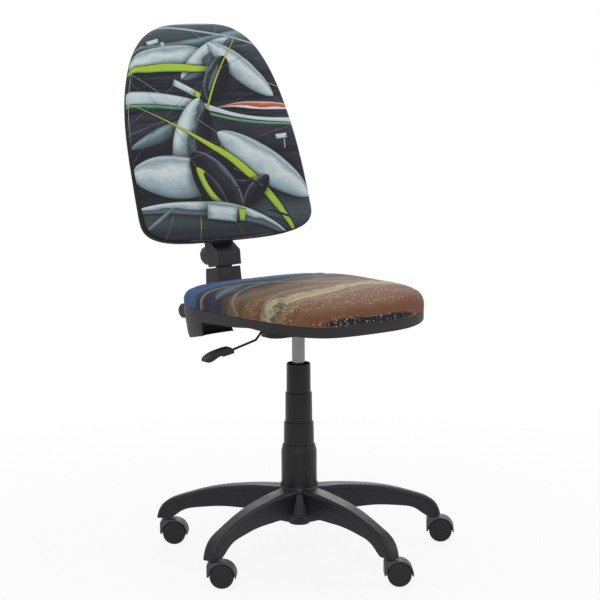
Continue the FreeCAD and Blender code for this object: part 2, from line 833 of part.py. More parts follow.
def ringed_form(rings):
    """Solid skinned over rings of steering points; the first and the last ring are flat and close it."""
    count = len(rings[0])
    levels = len(rings)
    poles = [[ring[k] for ring in rings] for k in range(count)]
    around = [1] * (count + 1)
    inner_levels = levels - curve_degree - 1
    along = [curve_degree + 1] + [1] * inner_levels + [curve_degree + 1]
    surface = Part.BSplineSurface()
    around_knots = list(range(count + 1))
    along_knots = list(range(len(along)))
    surface.buildFromPolesMultsKnots(poles, around, along, around_knots, along_knots,
                                     True, False, curve_degree, curve_degree)
    side = surface.toShape()
    rims = [edge for edge in side.Edges if edge.isClosed()]
    caps = [Part.Face(Part.Wire(edge)) for edge in rims]
    skin = Part.makeCompound([side] + caps)
    skin.sewShape()
    solid = Part.Solid(skin.Shells[0])
    if solid.Volume < 0:
        solid.reverse()
    return solid


def seat_droop(y):
    run = max(0, seat_roll_start_y - y)
    return seat_roll_radius - math.sqrt((seat_roll_radius - run) * (seat_roll_radius + run))


def seat_prism(inset, z0, z1):
    wire = closed_curve([Vector(x, y, z0) for x, y in seat_outline(inset)])
    return Part.Face(wire).extrude(Vector(0, 0, z1 - z0))


def seat_sheet(z0, z1):
    """Slab between two levels that rolls down at the front edge."""
    reach = seat_front_depth + seat_rear_depth
    front_y = seat_roll_start_y - seat_roll_radius * half
    mid_y = seat_roll_start_y - seat_roll_radius * half * half
    rear_y = reach
    edges = [
        Part.makeLine(Vector(0, rear_y, z0), Vector(0, rear_y, z1)),
        Part.makeLine(Vector(0, rear_y, z1), Vector(0, seat_roll_start_y, z1)),
        Part.Arc(Vector(0, seat_roll_start_y, z1), Vector(0, mid_y, z1 - seat_droop(mid_y)),
                 Vector(0, front_y, z1 - seat_droop(front_y))).toShape(),
        Part.makeLine(Vector(0, front_y, z1 - seat_droop(front_y)),
                      Vector(0, front_y, z0 - seat_droop(front_y))),
        Part.Arc(Vector(0, front_y, z0 - seat_droop(front_y)), Vector(0, mid_y, z0 - seat_droop(mid_y)),
                 Vector(0, seat_roll_start_y, z0)).toShape(),
        Part.makeLine(Vector(0, seat_roll_start_y, z0), Vector(0, rear_y, z0)),
    ]
    face = Part.Face(Part.Wire(edges))
    slab = face.extrude(Vector(reach * twice, 0, 0))
    return moved(slab, -reach, 0, 0)


def front_swell(y):
    """The pad is a little thicker towards the front."""
    along = (seat_swell_rear_y - y) / (seat_swell_rear_y - seat_swell_front_y)
    return 1 + seat_front_swell * min(1, max(0, along))


def seat_ring(inset, share, rise):
    points = []
    for x, y in seat_outline(inset, share):
        points.append(Vector(x, y, seat_edge_z + rise * front_swell(y) - seat_droop(y)))
    return points


def seat_end_ring(inset, share, rise):
    """The smallest ring of the crown, held flat so that it can close the form."""
    height = seat_edge_z + rise * front_swell(seat_centre_y)
    return [Vector(x, y, height) for x, y in seat_outline(inset, share)]


def seat_pad(shrink):
    """Crowned pad with drawn-in sides, its flat foot buried below the board."""
    rings = [[Vector(x, y, seat_pad_foot_z) for x, y in seat_outline(seat_pad_foot_inset + shrink)]]
    for inset, share, rise in seat_pad_rings[:-1]:
        lower = shrink if rise > 0 else 0
        rings.append(seat_ring(inset + shrink, share, rise - lower))
    inset, share, rise = seat_pad_rings[-1]
    rings.append(seat_end_ring(inset + shrink, share, rise - shrink))
    return ringed_form(rings)


def seat_cushion_pieces():
    board_top = seat_board_low_z + seat_board_thickness
    under = seat_sheet(seat_pad_foot_z - seat_edge_z * half, board_top)
    cover_low = seat_sheet(seat_pad_foot_z - seat_edge_z * half, seat_edge_z)
    rim_room = cover_low.cut(seat_prism(shell_inset + shell_wall + loose_gap, 0, seat_edge_z + overrun))
    foam = seat_pad(fabric_thickness + fabric_gap).cut(under).cut(rim_room)
    outer = seat_pad(0).cut(cover_low)
    inner = seat_pad(fabric_thickness)
    return foam, outer.cut(inner)


def seat_points(xs_ys, z0, z1, radius):
    return [upright(radius, z0, z1, x, y) for x, y in xs_ys]


def mech_bolt_points():
    return [(side * seat_bolt_x, y) for side in (-1, 1) for y in seat_bolt_ys]


def arm_bolt_points():
    return [(side * arm_bolt_x, y) for side in (-1, 1) for y in arm_bolt_ys]


def seat_board():
    top = seat_board_low_z + seat_board_thickness
    board = seat_prism(seat_board_inset, seat_pad_foot_z, seat_edge_z + seat_board_thickness)
    board = board.common(seat_sheet(seat_board_low_z, top))
    holes = seat_points(mech_bolt_points() + arm_bolt_points(), seat_board_low_z - overrun, top + overrun,
                        tee_barrel_radius)
    holes += seat_points(mech_bolt_points() + arm_bolt_points(), top - tee_flange_thickness, top + overrun,
                         tee_flange_radius)
    holes += seat_points(shell_screw_points, seat_board_low_z - overrun, seat_board_low_z + shell_screw_depth,
                         shell_screw_radius)
    return board.cut(Part.makeCompound(holes))


def tee_nuts():
    top = seat_board_low_z + seat_board_thickness
    nuts = []
    for x, y in mech_bolt_points() + arm_bolt_points():
        nut = upright(tee_barrel_radius, seat_board_low_z, top - tee_flange_thickness, x, y)
        nut = nut.fuse(upright(tee_flange_radius, top - tee_flange_thickness, top, x, y))
        nuts.append(nut.cut(upright(tee_bore_radius, seat_board_low_z - overrun, top + overrun, x, y)))
    return Part.makeCompound(nuts)


def seat_bolts():
    flange_low = seat_board_low_z - mech_flange_thickness
    top = seat_board_low_z + seat_board_thickness - tee_flange_thickness
    bolts = []
    for x, y in mech_bolt_points():
        bolt = upright(bolt_head_radius, flange_low - bolt_head_height, flange_low, x, y)
        bolt = bolt.fuse(upright(tee_bore_radius - bolt_gap, flange_low, top, x, y))
        socket = upright(bolt_socket_radius, flange_low - bolt_head_height - overrun,
                         flange_low - bolt_head_height + bolt_socket_depth, x, y)
        bolts.append(bolt.cut(socket))
    return Part.makeCompound(bolts)


def seat_shell():
    floor_low = seat_board_low_z - shell_floor_thickness
    rim_top = seat_edge_z - shell_edge_gap
    tall_low = apron_low_z - overrun
    tall = seat_prism(shell_inset, tall_low, rim_top + overrun)
    hollow = seat_prism(shell_inset + shell_wall, tall_low, rim_top + overrun)
    wall = tall.cut(hollow)
    floor = tall.common(seat_sheet(floor_low, seat_board_low_z))
    lip_low = floor_low - shell_lip_drop
    rim = wall.common(seat_sheet(lip_low, rim_top))
    below_lip = across_x([(shell_lip_full_y, lip_low - shell_lip_room),
                          (seat_rear_depth, lip_low - shell_lip_room), (seat_rear_depth, floor_low),
                          (shell_lip_rear_y, floor_low),
                          (shell_lip_full_y, lip_low - seat_droop(shell_lip_full_y))],
                         -seat_half_width - overrun, seat_half_width + overrun)
    rim = rim.cut(below_lip)
    apron = apron_skin(shell_inset, floor_low, 0)
    apron = apron.cut(apron_skin(shell_inset + shell_wall, floor_low, overrun))
    side_view = across_x([(skirt_rise_y, floor_low), (skirt_level_y, skirt_level_z),
                          (apron_front_y, skirt_low_z), (apron_front_y, apron_front_low_z),
                          (apron_level_y, apron_low_z), (seat_rear_depth, apron_low_z),
                          (seat_rear_depth, floor_low)],
                         -seat_half_width - overrun, seat_half_width + overrun)
    apron = apron.common(side_view)
    gap = block(-apron_gap_half_width, apron_gap_half_width, apron_front_y, seat_rear_depth,
                apron_low_z - overrun, floor_low)
    apron = apron.cut(gap)
    shell = joined([floor, rim, apron])
    shell = shell.cut(shell_openings(floor_low))
    return shell


def apron_skin(inset, top, extra):
    """Leaning drum under the shell whose lower edge curls inward."""
    height = top - apron_low_z
    wires = [closed_curve([Vector(x, y, top + extra) for x, y in seat_outline(inset)])]
    for drop, curl in apron_lip_rings:
        ring = seat_outline(inset + apron_draft * drop + curl)
        wires.append(closed_curve([Vector(x, y, top - height * drop) for x, y in ring]))
    if extra:
        last = seat_outline(inset + apron_draft + apron_lip_rings[-1][-1])
        wires.append(closed_curve([Vector(x, y, apron_low_z - extra) for x, y in last]))
    return Part.makeLoft(wires, True, True)


def shell_openings(floor_low):
    low = apron_low_z - overrun
    high = seat_board_low_z + overrun * half
    cutters = [
        block(-opening_half_width, opening_half_width, opening_front_y, opening_rear_y,
              floor_low - overrun, high),
        block(-channel_opening_half_width, channel_opening_half_width, opening_rear_y - overrun,
              seat_centre_y + seat_rear_depth - shell_inset - shell_wall, floor_low - overrun, high)]
    cutters += seat_points(arm_bolt_points(), low, high, arm_hole_radius)
    cutters += seat_points(shell_screw_points, low, high, shell_screw_radius)
    return Part.makeCompound(cutters)


def shell_screws():
    floor_low = seat_board_low_z - shell_floor_thickness
    screws = []
    for x, y in shell_screw_points:
        head = upright(shell_screw_head_radius, floor_low - shell_screw_head_height, floor_low, x, y)
        shank = upright(shell_screw_radius, floor_low, seat_board_low_z + shell_screw_depth, x, y)
        screws.append(head.fuse(shank))
    return Part.makeCompound(screws)


# Mechanism
def socket_bore():
    top_radius = cylinder_radius - (taper_top_z - taper_low_z) * taper_slope
    return turned([
        (0, socket_low_z - overrun), (cylinder_radius, socket_low_z - overrun),
        (cylinder_radius, taper_low_z),
        (top_radius, taper_top_z), (top_radius, taper_top_z + overrun), (0, taper_top_z + overrun)])


def mechanism_body():
    flange_low = seat_board_low_z - mech_flange_thickness
    pan = rounded_block(-mech_half_width, mech_half_width, mech_front_y, mech_rear_y, mech_low_z,
                        flange_low + overrun * half, mech_corner)
    pan_inner = rounded_block(-mech_half_width + mech_wall, mech_half_width - mech_wall,
                              mech_front_y + mech_wall, mech_rear_y - mech_wall,
                              mech_low_z + mech_wall, seat_board_low_z + overrun, mech_corner - mech_wall)
    flange = rounded_block(-mech_flange_half_width, mech_flange_half_width, mech_flange_front_y,
                           mech_flange_rear_y, flange_low, seat_board_low_z, mech_flange_corner)
    socket = upright(socket_radius, socket_low_z, taper_top_z)
    channel = block(-channel_half_width, channel_half_width, mech_rear_y - mech_wall, channel_rear_y,
                    channel_low_z, channel_top_z)
    nose = lengthwise(channel_nose, -channel_half_width, channel_half_width, tilt_y, tilt_z)
    rear_trim = block(-channel_half_width, channel_half_width, tilt_y, channel_rear_y + overrun,
                      channel_low_z - overrun, channel_top_z + overrun)
    channel = channel.cut(rear_trim).fuse(nose)
    riser = block(-channel_half_width, channel_half_width, mech_rear_y - mech_wall, mech_flange_rear_y,
                  channel_low_z, flange_low + overrun * half)
    channel = channel.fuse(riser)
    channel_inner = block(-channel_half_width + channel_wall, channel_half_width - channel_wall,
                          mech_rear_y, channel_rear_y + overrun, channel_low_z + channel_wall,
                          flange_low)
    rear_inner = block(-channel_half_width + channel_wall, channel_half_width - channel_wall,
                       mech_flange_rear_y - channel_wall, channel_rear_y + channel_nose,
                       channel_low_z + channel_wall, flange_low)
    bar_room = block(-channel_half_width + channel_wall, channel_half_width - channel_wall,
                     tilt_y - bar_eye_radius - bar_thickness, channel_rear_y + channel_nose,
                     channel_low_z - channel_nose, flange_low)
    channel = channel.cut(channel_inner).cut(rear_inner).cut(bar_room)
    slot = block(-mech_half_width - overrun, -mech_half_width + mech_wall + mech_corner,
                 -mech_lever_slot_half_depth, mech_lever_slot_half_depth,
                 mech_lever_slot_low_z - lever_drop_at_wall(), mech_lever_slot_high_z)
    body = pan.fuse(flange).cut(pan_inner).fuse(channel).fuse(socket)
    body = body.cut(socket_bore()).cut(slot)
    holes = seat_points(mech_bolt_points(), flange_low - overrun, seat_board_low_z + overrun,
                        tee_bore_radius + small_gap)
    pivot = lengthwise(tilt_bolt_radius + small_gap, -channel_half_width - overrun,
                       channel_half_width + overrun, tilt_y, tilt_z)
    return body.cut(Part.makeCompound(holes)).cut(pivot).removeSplitter()


def lever_drop_at_wall():
    """How far the wire has dropped where it leaves the housing wall."""
    slope = (lever_level_z - lever_bend_z) / (lever_elbow_x - lever_bend_x)
    return (lever_elbow_x + mech_half_width) * slope


def lever_saddle():
    top = seat_board_low_z - small_gap
    saddle = block(lever_pivot_x - lever_saddle_half_width, lever_pivot_x + lever_saddle_half_width,
                   -lever_saddle_half_depth, lever_saddle_half_depth, lever_saddle_low_z, top)
    bore = lengthwise(lever_radius + lever_saddle_gap, lever_pivot_x - lever_saddle_half_width - overrun,
                      lever_pivot_x + lever_saddle_half_width + overrun, 0, lever_level_z)
    return saddle.cut(bore)


def wire_run(points, radius):
    """Round wire with spherical elbows through the given points."""
    pieces = []
    for start, end in zip(points, points[1:]):
        run = end - start
        pieces.append(Part.makeCylinder(radius, run.Length, start, run))
    for point in points[1:-1]:
        pieces.append(Part.makeSphere(radius, point))
    return joined(pieces)


def lever_rod():
    return wire_run([
        Vector(lever_inner_x, 0, lever_level_z), Vector(lever_elbow_x, 0, lever_level_z),
        Vector(lever_bend_x, 0, lever_bend_z), Vector(lever_grip_x, 0, lever_grip_z),
        Vector(lever_end_x, 0, lever_end_z)], lever_radius)


def lever_grip():
    """Moulded paddle: its side outline and its plan outline drawn through each other."""
    paddle = Part.BSplineCurve()
    paddle.interpolate([Vector(x, 0, z) for x, z in grip_paddle_side])
    corners = [grip_paddle_side[-1]] + grip_block_side + [grip_paddle_side[0]]
    edges = [paddle.toShape()]
    for (x0, z0), (x1, z1) in zip(corners, corners[1:]):
        edges.append(Part.makeLine(Vector(x0, 0, z0), Vector(x1, 0, z1)))
    side = Part.Face(Part.Wire(edges)).extrude(DEPTHWISE * (grip_cut_reach * twice))
    side.translate(DEPTHWISE * -grip_cut_reach)
    rim = Part.BSplineCurve()
    plan_points = [Vector(x, y, 0) for x, y in grip_plan]
    rim.interpolate(plan_points)
    plan = Part.Face(Part.Wire([rim.toShape(), Part.makeLine(plan_points[-1], plan_points[0])]))
    plan = plan.extrude(UP * seat_edge_z)
    body = side.common(plan)
    start = Vector(lever_grip_x, 0, lever_grip_z)
    end = Vector(lever_end_x, 0, lever_end_z)
    back_step = start - end
    back_step.normalize()
    hole_start = start + back_step * grip_hole_reach
    hole = Part.makeCylinder(lever_radius, (end - hole_start).Length, hole_start, end - start)
    return body.cut(hole)


# Back tilt
def knob_lobes(count, ring_radius, lobe_radius, x0, x1, y, z):
    cutters = []
    for k in range(count):
        angle = math.radians(full_turn * k / count)
        cutters.append(lengthwise(lobe_radius, x0, x1, y + ring_radius * math.cos(angle),
                                  z + ring_radius * math.sin(angle)))
    return Part.makeCompound(cutters)


def tilt_bolt():
    head_x = channel_half_width
    shank_end = tilt_knob_inner_x - tilt_bolt_in_knob + overrun
    shank = lengthwise(tilt_bolt_radius, shank_end, head_x, tilt_y, tilt_z)
    head = lengthwise(tilt_bolt_head_radius, head_x, head_x + tilt_bolt_head_height, tilt_y, tilt_z)
    return shank.fuse(head)


def tilt_knob():
    grip = lengthwise(tilt_knob_radius, tilt_knob_outer_x, tilt_knob_inner_x, tilt_y, tilt_z)
    grip = grip.makeChamfer(tilt_knob_edge, [e for e in grip.Edges if e.Curve.TypeId == "Part::GeomCircle"])
    lobe_ring = tilt_knob_radius + tilt_knob_lobe_radius - tilt_knob_lobe_depth
    grip = grip.cut(knob_lobes(tilt_knob_lobes, lobe_ring, tilt_knob_lobe_radius,
                               tilt_knob_outer_x - overrun, tilt_knob_inner_x + overrun, tilt_y, tilt_z))
    neck = lengthwise(tilt_knob_neck_radius, tilt_knob_inner_x - overrun, -channel_half_width - small_gap,
                      tilt_y, tilt_z)
    bore = lengthwise(tilt_bolt_radius + running_gap, tilt_knob_inner_x - tilt_bolt_in_knob,
                      -channel_half_width + overrun, tilt_y, tilt_z)
    return grip.fuse(neck).cut(bore).removeSplitter()


# Back frame: (x, depth behind the front edge plane, t up the backrest)
def reclined(shape):
    """From the upright backrest frame to the chair's frame."""
    copy = shape.copy()
    copy.rotate(ORIGIN, SIDEWAYS, -recline_deg)
    copy.translate(Vector(0, back_foot_y, back_foot_z))
    return copy


def world_point(depth, t):
    """(y, z) in the chair's frame of a point of the backrest frame."""
    y = back_foot_y + depth * recline_cos + t * recline_sin
    z = back_foot_z - depth * recline_sin + t * recline_cos
    return y, z


def bar_centre_line():
    """Eye, bend and top end of the bar's middle plane as (y, z) points."""
    bend_t = (bar_bend_z - back_foot_z + bar_depth * recline_sin) / recline_cos
    return [(tilt_y, tilt_z), world_point(bar_depth, bend_t), world_point(bar_depth, bar_top_t)]


def back_bar():
    points = [Vector(0, y, z) for y, z in bar_centre_line()]
    offset = bar_thickness * half
    runs = [points[1] - points[0], points[-1] - points[1]]
    normals = [Vector(0, run.z, -run.y).normalize() for run in runs]
    miter = (normals[0] + normals[1]).normalize()
    miter_reach = offset / miter.dot(normals[0])
    front = [points[0] - normals[0] * offset, points[1] - miter * miter_reach,
             points[-1] - normals[1] * offset]
    rear = [points[-1] + normals[1] * offset, points[1] + miter * miter_reach,
            points[0] + normals[0] * offset]
    face = Part.Face(polygon(front + rear))
    strip = face.extrude(Vector(bar_half_width * twice, 0, 0))
    strip = moved(strip, -bar_half_width, 0, 0)
    boss = lengthwise(bar_boss_radius, -bar_boss_half_width, bar_boss_half_width, tilt_y, tilt_z)
    bore = lengthwise(tilt_bolt_radius + running_gap, -bar_boss_half_width - overrun,
                      bar_boss_half_width + overrun, tilt_y, tilt_z)
    return strip.fuse(boss).cut(bore).removeSplitter()


def bar_sleeve():
    """Plastic box around the lower bar, one half of its front face set back."""
    solid = across_x(sleeve_outline, -sleeve_half_width, sleeve_half_width)
    upright_edges = []
    for edge in solid.Edges:
        run = edge.Vertexes[-1].Point - edge.Vertexes[0].Point
        if abs(run.z) > run.Length * (1 - sleeve_corner / sleeve_half_width):
            upright_edges.append(edge)
    solid = solid.makeFillet(sleeve_corner, upright_edges)
    (front_low_y, low_z), (front_high_y, high_z) = sleeve_outline[:-2]
    (rear_high_y, rear_high_z), (rear_low_y, rear_low_z) = sleeve_outline[-2:]
    wall = sleeve_wall
    inner = across_x([(front_low_y + wall + sleeve_recess_depth, low_z - overrun),
                      (front_high_y + wall + sleeve_recess_depth, rear_high_z - wall * twice),
                      (rear_high_y - wall, rear_high_z - wall * twice), (rear_low_y - wall, low_z - overrun)],
                     -sleeve_half_width + wall, sleeve_half_width - wall)
    recess = across_x([(front_low_y - overrun, low_z - overrun), (front_high_y - overrun, high_z + overrun),
                       (front_high_y + sleeve_recess_depth, high_z + overrun),
                       (front_low_y + sleeve_recess_depth, low_z - overrun)],
                      sleeve_recess_from_x, sleeve_half_width + overrun)
    line = bar_centre_line()
    slope = (line[1][0] - line[0][0]) / (line[1][1] - line[0][1])
    y_low = tilt_y + (low_z - tilt_z) * slope
    y_high = tilt_y + (high_z + overrun - tilt_z) * slope
    grip = bar_thickness * half + small_gap
    slot = across_x([(y_low - grip, low_z), (y_high - grip, high_z + overrun),
                     (y_high + grip + overrun, high_z + overrun), (y_low + grip, low_z)],
                    -bar_half_width - small_gap, bar_half_width + small_gap)
    return solid.cut(recess).cut(inner).cut(slot)


def back_bracket():
    solid = across_x(bracket_outline, -bracket_half_width, bracket_half_width)
    edges = edges_along(solid, UP)
    solid = solid.makeFillet(bracket_corner, edges)
    front = bracket_outline[2][0]
    flange = block(-bracket_flange_half_width, bracket_flange_half_width,
                   front, front + bracket_flange_thickness, bracket_flange_low_t, bracket_flange_high_t)
    flange = flange.makeFillet(bracket_corner, edges_along(flange, DEPTHWISE))
    solid = solid.fuse(flange)
    grip = bar_thickness * half + bracket_slot_gap
    side = bar_half_width + bracket_slot_gap
    slot = block(-side, side, bar_depth - grip, bar_depth + grip, bracket_outline[0][1] - overrun,
                 bracket_outline[3][1] + overrun)
    mouth = block(-side, side, bracket_outline[0][0] + sleeve_wall,
                  bracket_outline[-1][0] - sleeve_wall - overrun,
                  bracket_outline[0][1] - overrun, bracket_outline[-1][1] + overrun)
    knob_bore = Part.makeCylinder(height_stud_radius + running_gap, height_knob_far,
                                  Vector(0, bar_depth, height_knob_t), DEPTHWISE)
    holes = [Part.makeCylinder(back_screw_radius, height_knob_far, Vector(x, 0, t), DEPTHWISE)
             for x, t in back_screw_points()]
    solid = solid.cut(slot).cut(mouth).cut(knob_bore).cut(Part.makeCompound(holes))
    return reclined(solid.removeSplitter())


def back_screw_points():
    return [(side * back_screw_x, t) for side in (-1, 1) for t in back_screw_ts]


def height_knob():
    """Lobed knob with its moulded-in clamping stud."""
    near = height_knob_near
    far = height_knob_far
    base = Vector(0, near, height_knob_t)
    grip = Part.makeCylinder(height_knob_radius, far - near, base, DEPTHWISE)
    grip = grip.makeChamfer(height_knob_edge, [e for e in grip.Edges if e.Curve.TypeId == "Part::GeomCircle"])
    ring = height_knob_radius + height_knob_lobe_radius - height_knob_lobe_depth
    cutters = []
    for k in range(height_knob_lobes):
        angle = math.radians(full_turn * k / height_knob_lobes)
        foot = Vector(ring * math.cos(angle), near - overrun, height_knob_t + ring * math.sin(angle))
        cutter = Part.makeCylinder(height_knob_lobe_radius, far - near + overrun * twice, foot, DEPTHWISE)
        cutters.append(cutter)
    grip = grip.cut(Part.makeCompound(cutters))
    start = bar_depth + bar_thickness * half + height_stud_gap
    stud = Part.makeCylinder(height_stud_radius, near + overrun - start,
                             Vector(0, start, height_knob_t), DEPTHWISE)
    return reclined(grip.fuse(stud).removeSplitter())


# Backrest
def back_outline(inset, share=1):
    widest = back_height * back_widest_share
    centre = back_height * back_centre_share
    points = []
    for k in range(outline_point_count):
        angle = math.radians(full_turn * (k + half) / outline_point_count)
        u, v = power_point(angle, back_half_width - inset, widest - inset, back_height - widest - inset,
                           back_low_power, back_high_power)
        rise = max(0, v) / back_height
        taper = back_taper * rise * rise
        t = widest + v
        points.append((u * (1 - taper) * share, centre + (t - centre) * share))
    return points


def back_bend(x, t):
    """Depth change of every layer: sides come forward, the middle height sits back."""
    side = x / back_half_width
    wrap = back_wrap * side * side
    share = (t - back_hollow_start_t) / (back_height - back_hollow_start_t)
    swell = math.sin(math.pi * min(1, max(0, share)))
    return back_hollow * swell * swell - wrap


def back_ring(inset, share, depth):
    return [Vector(x, depth + back_bend(x, t), t) for x, t in back_outline(inset, share)]


def flat_ring(inset, share, depth):
    return [Vector(x, depth, t) for x, t in back_outline(inset, share)]


def back_end_ring(inset, share, depth):
    """The smallest ring of a crown, held flat so that it can close the form."""
    return flat_ring(inset, share, depth + back_bend(0, back_height * back_centre_share))


def back_form(foot_inset, foot_depth, rings, shrink, sink):
    form = [flat_ring(foot_inset + shrink, 1, foot_depth)]
    for inset, share, depth in rings[:-1]:
        form.append(back_ring(inset + shrink, share, depth + sink))
    inset, share, depth = rings[-1]
    form.append(back_end_ring(inset + shrink, share, depth + sink))
    return ringed_form(form)


def back_half_space(depth, far_depth):
    """Everything on one side of a curved layer, used to trim the forms of the backrest."""
    form = [back_end_ring(0, cutter_shares[0], depth)]
    form += [back_ring(0, share, depth) for share in cutter_shares[1:]]
    form.append(flat_ring(0, cutter_shares[-1], far_depth))
    return ringed_form([ring[cutter_seam_shift:] + ring[:cutter_seam_shift] for ring in form])


def back_layer(inset, near, far):
    """Curved sheet between two depths, trimmed to the outline."""
    start = closed_curve(flat_ring(inset, 1, -back_pad_foot_depth))
    prism = Part.Face(start).extrude(DEPTHWISE * (back_pad_foot_depth / half))
    sheet = prism.common(back_half_space(near, back_pad_foot_depth + overrun))
    return sheet.cut(back_half_space(far, back_pad_foot_depth + overrun * twice))


def back_board():
    board = back_layer(back_board_inset, back_board_depth, back_board_depth + back_board_thickness)
    holes = [Part.makeCylinder(back_screw_radius, height_knob_far, Vector(x, 0, t), DEPTHWISE)
             for x, t in back_screw_points()]
    return reclined(board.cut(Part.makeCompound(holes)))


def back_cushion(shrink):
    return back_form(back_pad_foot_inset, back_pad_foot_depth, back_pad_rings, shrink, shrink)


def back_cushion_pieces():
    foam_shrink = fabric_thickness + fabric_gap
    behind = back_half_space(back_board_depth, back_pad_foot_depth + overrun)
    foam = back_cushion(foam_shrink).cut(behind)
    outer = back_cushion(0).cut(behind)
    inner = back_cushion(fabric_thickness)
    return reclined(foam), reclined(outer.cut(inner))


def back_shell():
    rim = back_shell_rings[0][-1]
    outer = back_form(back_shell_foot_inset, back_shell_foot_depth, back_shell_rings, 0, 0)
    inner = back_form(back_shell_foot_inset, back_shell_foot_depth - overrun, back_shell_rings,
                      back_shell_wall, -back_shell_wall)
    ahead = back_half_space(rim, back_shell_foot_depth - overrun * twice)
    shell = outer.cut(inner).cut(ahead)
    holes = [Part.makeCylinder(back_screw_radius, height_knob_far, Vector(x, 0, t), DEPTHWISE)
             for x, t in back_screw_points()]
    return reclined(shell.cut(Part.makeCompound(holes)))


def back_screws():
    head_near = bracket_outline[2][0] + bracket_flange_thickness
    screws = []
    for x, t in back_screw_points():
        shank = Part.makeCylinder(back_screw_radius - bolt_gap, head_near - back_screw_end_depth,
                                  Vector(x, back_screw_end_depth, t), DEPTHWISE)
        head = Part.makeCylinder(back_screw_head_radius, back_screw_head_height,
                                 Vector(x, head_near, t), DEPTHWISE)
        socket_near = head_near + back_screw_head_height - bolt_socket_depth * half
        socket = Part.makeCylinder(bolt_socket_radius, back_screw_head_height,
                                   Vector(x, socket_near, t), DEPTHWISE)
        screws.append(shank.fuse(head).cut(socket))
    return reclined(Part.makeCompound(screws))


# Export
def main():
    save("base_star", base_star())
    save("column_tube", column_tube())
    save("guide_bush", guide_bush())
    save("thrust_bearing", thrust_bearing())
    save("piston_rod", piston_rod())
    save("rod_clip", rod_clip())
    save("bump_stop", bump_stop())
    save("gas_cylinder", gas_cylinder())
    save("release_pin", release_pin())
    for number, section in enumerate(cover_sections(), 1):
        save("cover_section_%d" % number, section)
    castor_pieces = {
        "stem": castor_stem(), "hood": castor_hood(), "axle": castor_axle(),
        "wheel_a": castor_wheel(-1), "wheel_b": castor_wheel(1)}
    for k, trail_deg in enumerate(castor_trail_degs):
        arm_deg = first_arm_deg + arm_pitch_deg * k
        for name, shape in castor_pieces.items():
            save("castor_%d_%s" % (k + 1, name), place_castor(shape, arm_deg, trail_deg))
    save("mechanism_body", mechanism_body())
    save("lever_saddle", lever_saddle())
    save("lever_rod", lever_rod())
    save("lever_grip", lever_grip())
    save("tilt_bolt", tilt_bolt())
    save("tilt_knob", tilt_knob())
    save("back_bar", back_bar())
    save("bar_sleeve", bar_sleeve())
    save("back_bracket", back_bracket())
    save("height_knob", height_knob())
    save("seat_board", seat_board())
    save("tee_nuts", tee_nuts())
    save("seat_bolts", seat_bolts())
    save("seat_shell", seat_shell())
    save("shell_screws", shell_screws())
    foam, cover = seat_cushion_pieces()
    save("seat_foam", foam)
    save("seat_fabric", cover)
    save("back_board", back_board())
    foam, cover = back_cushion_pieces()
    save("back_foam", foam)
    save("back_fabric", cover)
    save("back_shell", back_shell())
    save("back_screws", back_screws())


main()
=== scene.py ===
import math

import bmesh
import bpy
import numpy as np
from bpy.props import FloatProperty, FloatVectorProperty, IntProperty, PointerProperty
from mathutils import Matrix, Vector


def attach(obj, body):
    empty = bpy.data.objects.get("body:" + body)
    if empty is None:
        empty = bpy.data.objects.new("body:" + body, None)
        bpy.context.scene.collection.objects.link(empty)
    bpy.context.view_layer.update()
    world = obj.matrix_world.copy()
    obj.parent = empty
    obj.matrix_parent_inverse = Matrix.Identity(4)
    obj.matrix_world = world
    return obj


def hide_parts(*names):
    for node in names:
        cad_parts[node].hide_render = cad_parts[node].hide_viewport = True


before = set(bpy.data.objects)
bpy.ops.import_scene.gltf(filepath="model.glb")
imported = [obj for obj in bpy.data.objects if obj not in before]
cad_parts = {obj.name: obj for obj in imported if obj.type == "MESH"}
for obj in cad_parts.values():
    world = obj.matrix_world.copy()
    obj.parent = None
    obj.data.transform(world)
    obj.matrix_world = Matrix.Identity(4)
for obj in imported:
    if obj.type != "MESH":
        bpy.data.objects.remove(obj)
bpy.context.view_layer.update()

bl_info = {
    "name": "Children's swivel chair dressing",
    "version": (1, 0, 0),
    "blender": (4, 5, 0),
    "location": "3D View > Sidebar > Chair",
    "description": "Upholstery, finishes, screws and studio for a children's swivel task chair",
    "category": "Object",
}

MM = 0.001


# Settings that a user would change

def length(name, description, default):
    return FloatProperty(name=name, description=description, default=default, unit="LENGTH", precision=4)


def shade(name, description, default):
    return FloatVectorProperty(name=name, description=description, default=default, subtype="COLOR",
                               min=0.0, max=1.0)


class ChairSeatSettings(bpy.types.PropertyGroup):
    half_width: length("Half width", "Half the width of the seat pad", 0.220)
    front_depth: length("Front depth", "Reach of the seat pad ahead of its middle", 0.225)
    rear_depth: length("Rear depth", "Reach of the seat pad behind its middle", 0.231)
    centre_y: length("Centre", "Place of the pad's middle along Y", -0.033)
    edge_z: length("Edge height", "Height of the lower edge of the cloth", 0.550)
    board_top_z: length("Board top", "Upper face of the seat board", 0.548)
    roll_start_y: length("Roll start", "Where the front edge starts to roll down", -0.160)
    roll_radius: length("Roll radius", "Radius of the rolled front edge", 0.350)
    front_swell: FloatProperty(name="Front swell", description="Extra thickness of the pad towards the front",
                               default=0.11)
    swell: length("Swell", "Most that the simulated pad may swell", 0.0022)
    hem: length("Hem", "Width of cloth turned in under the pad", 0.0045)


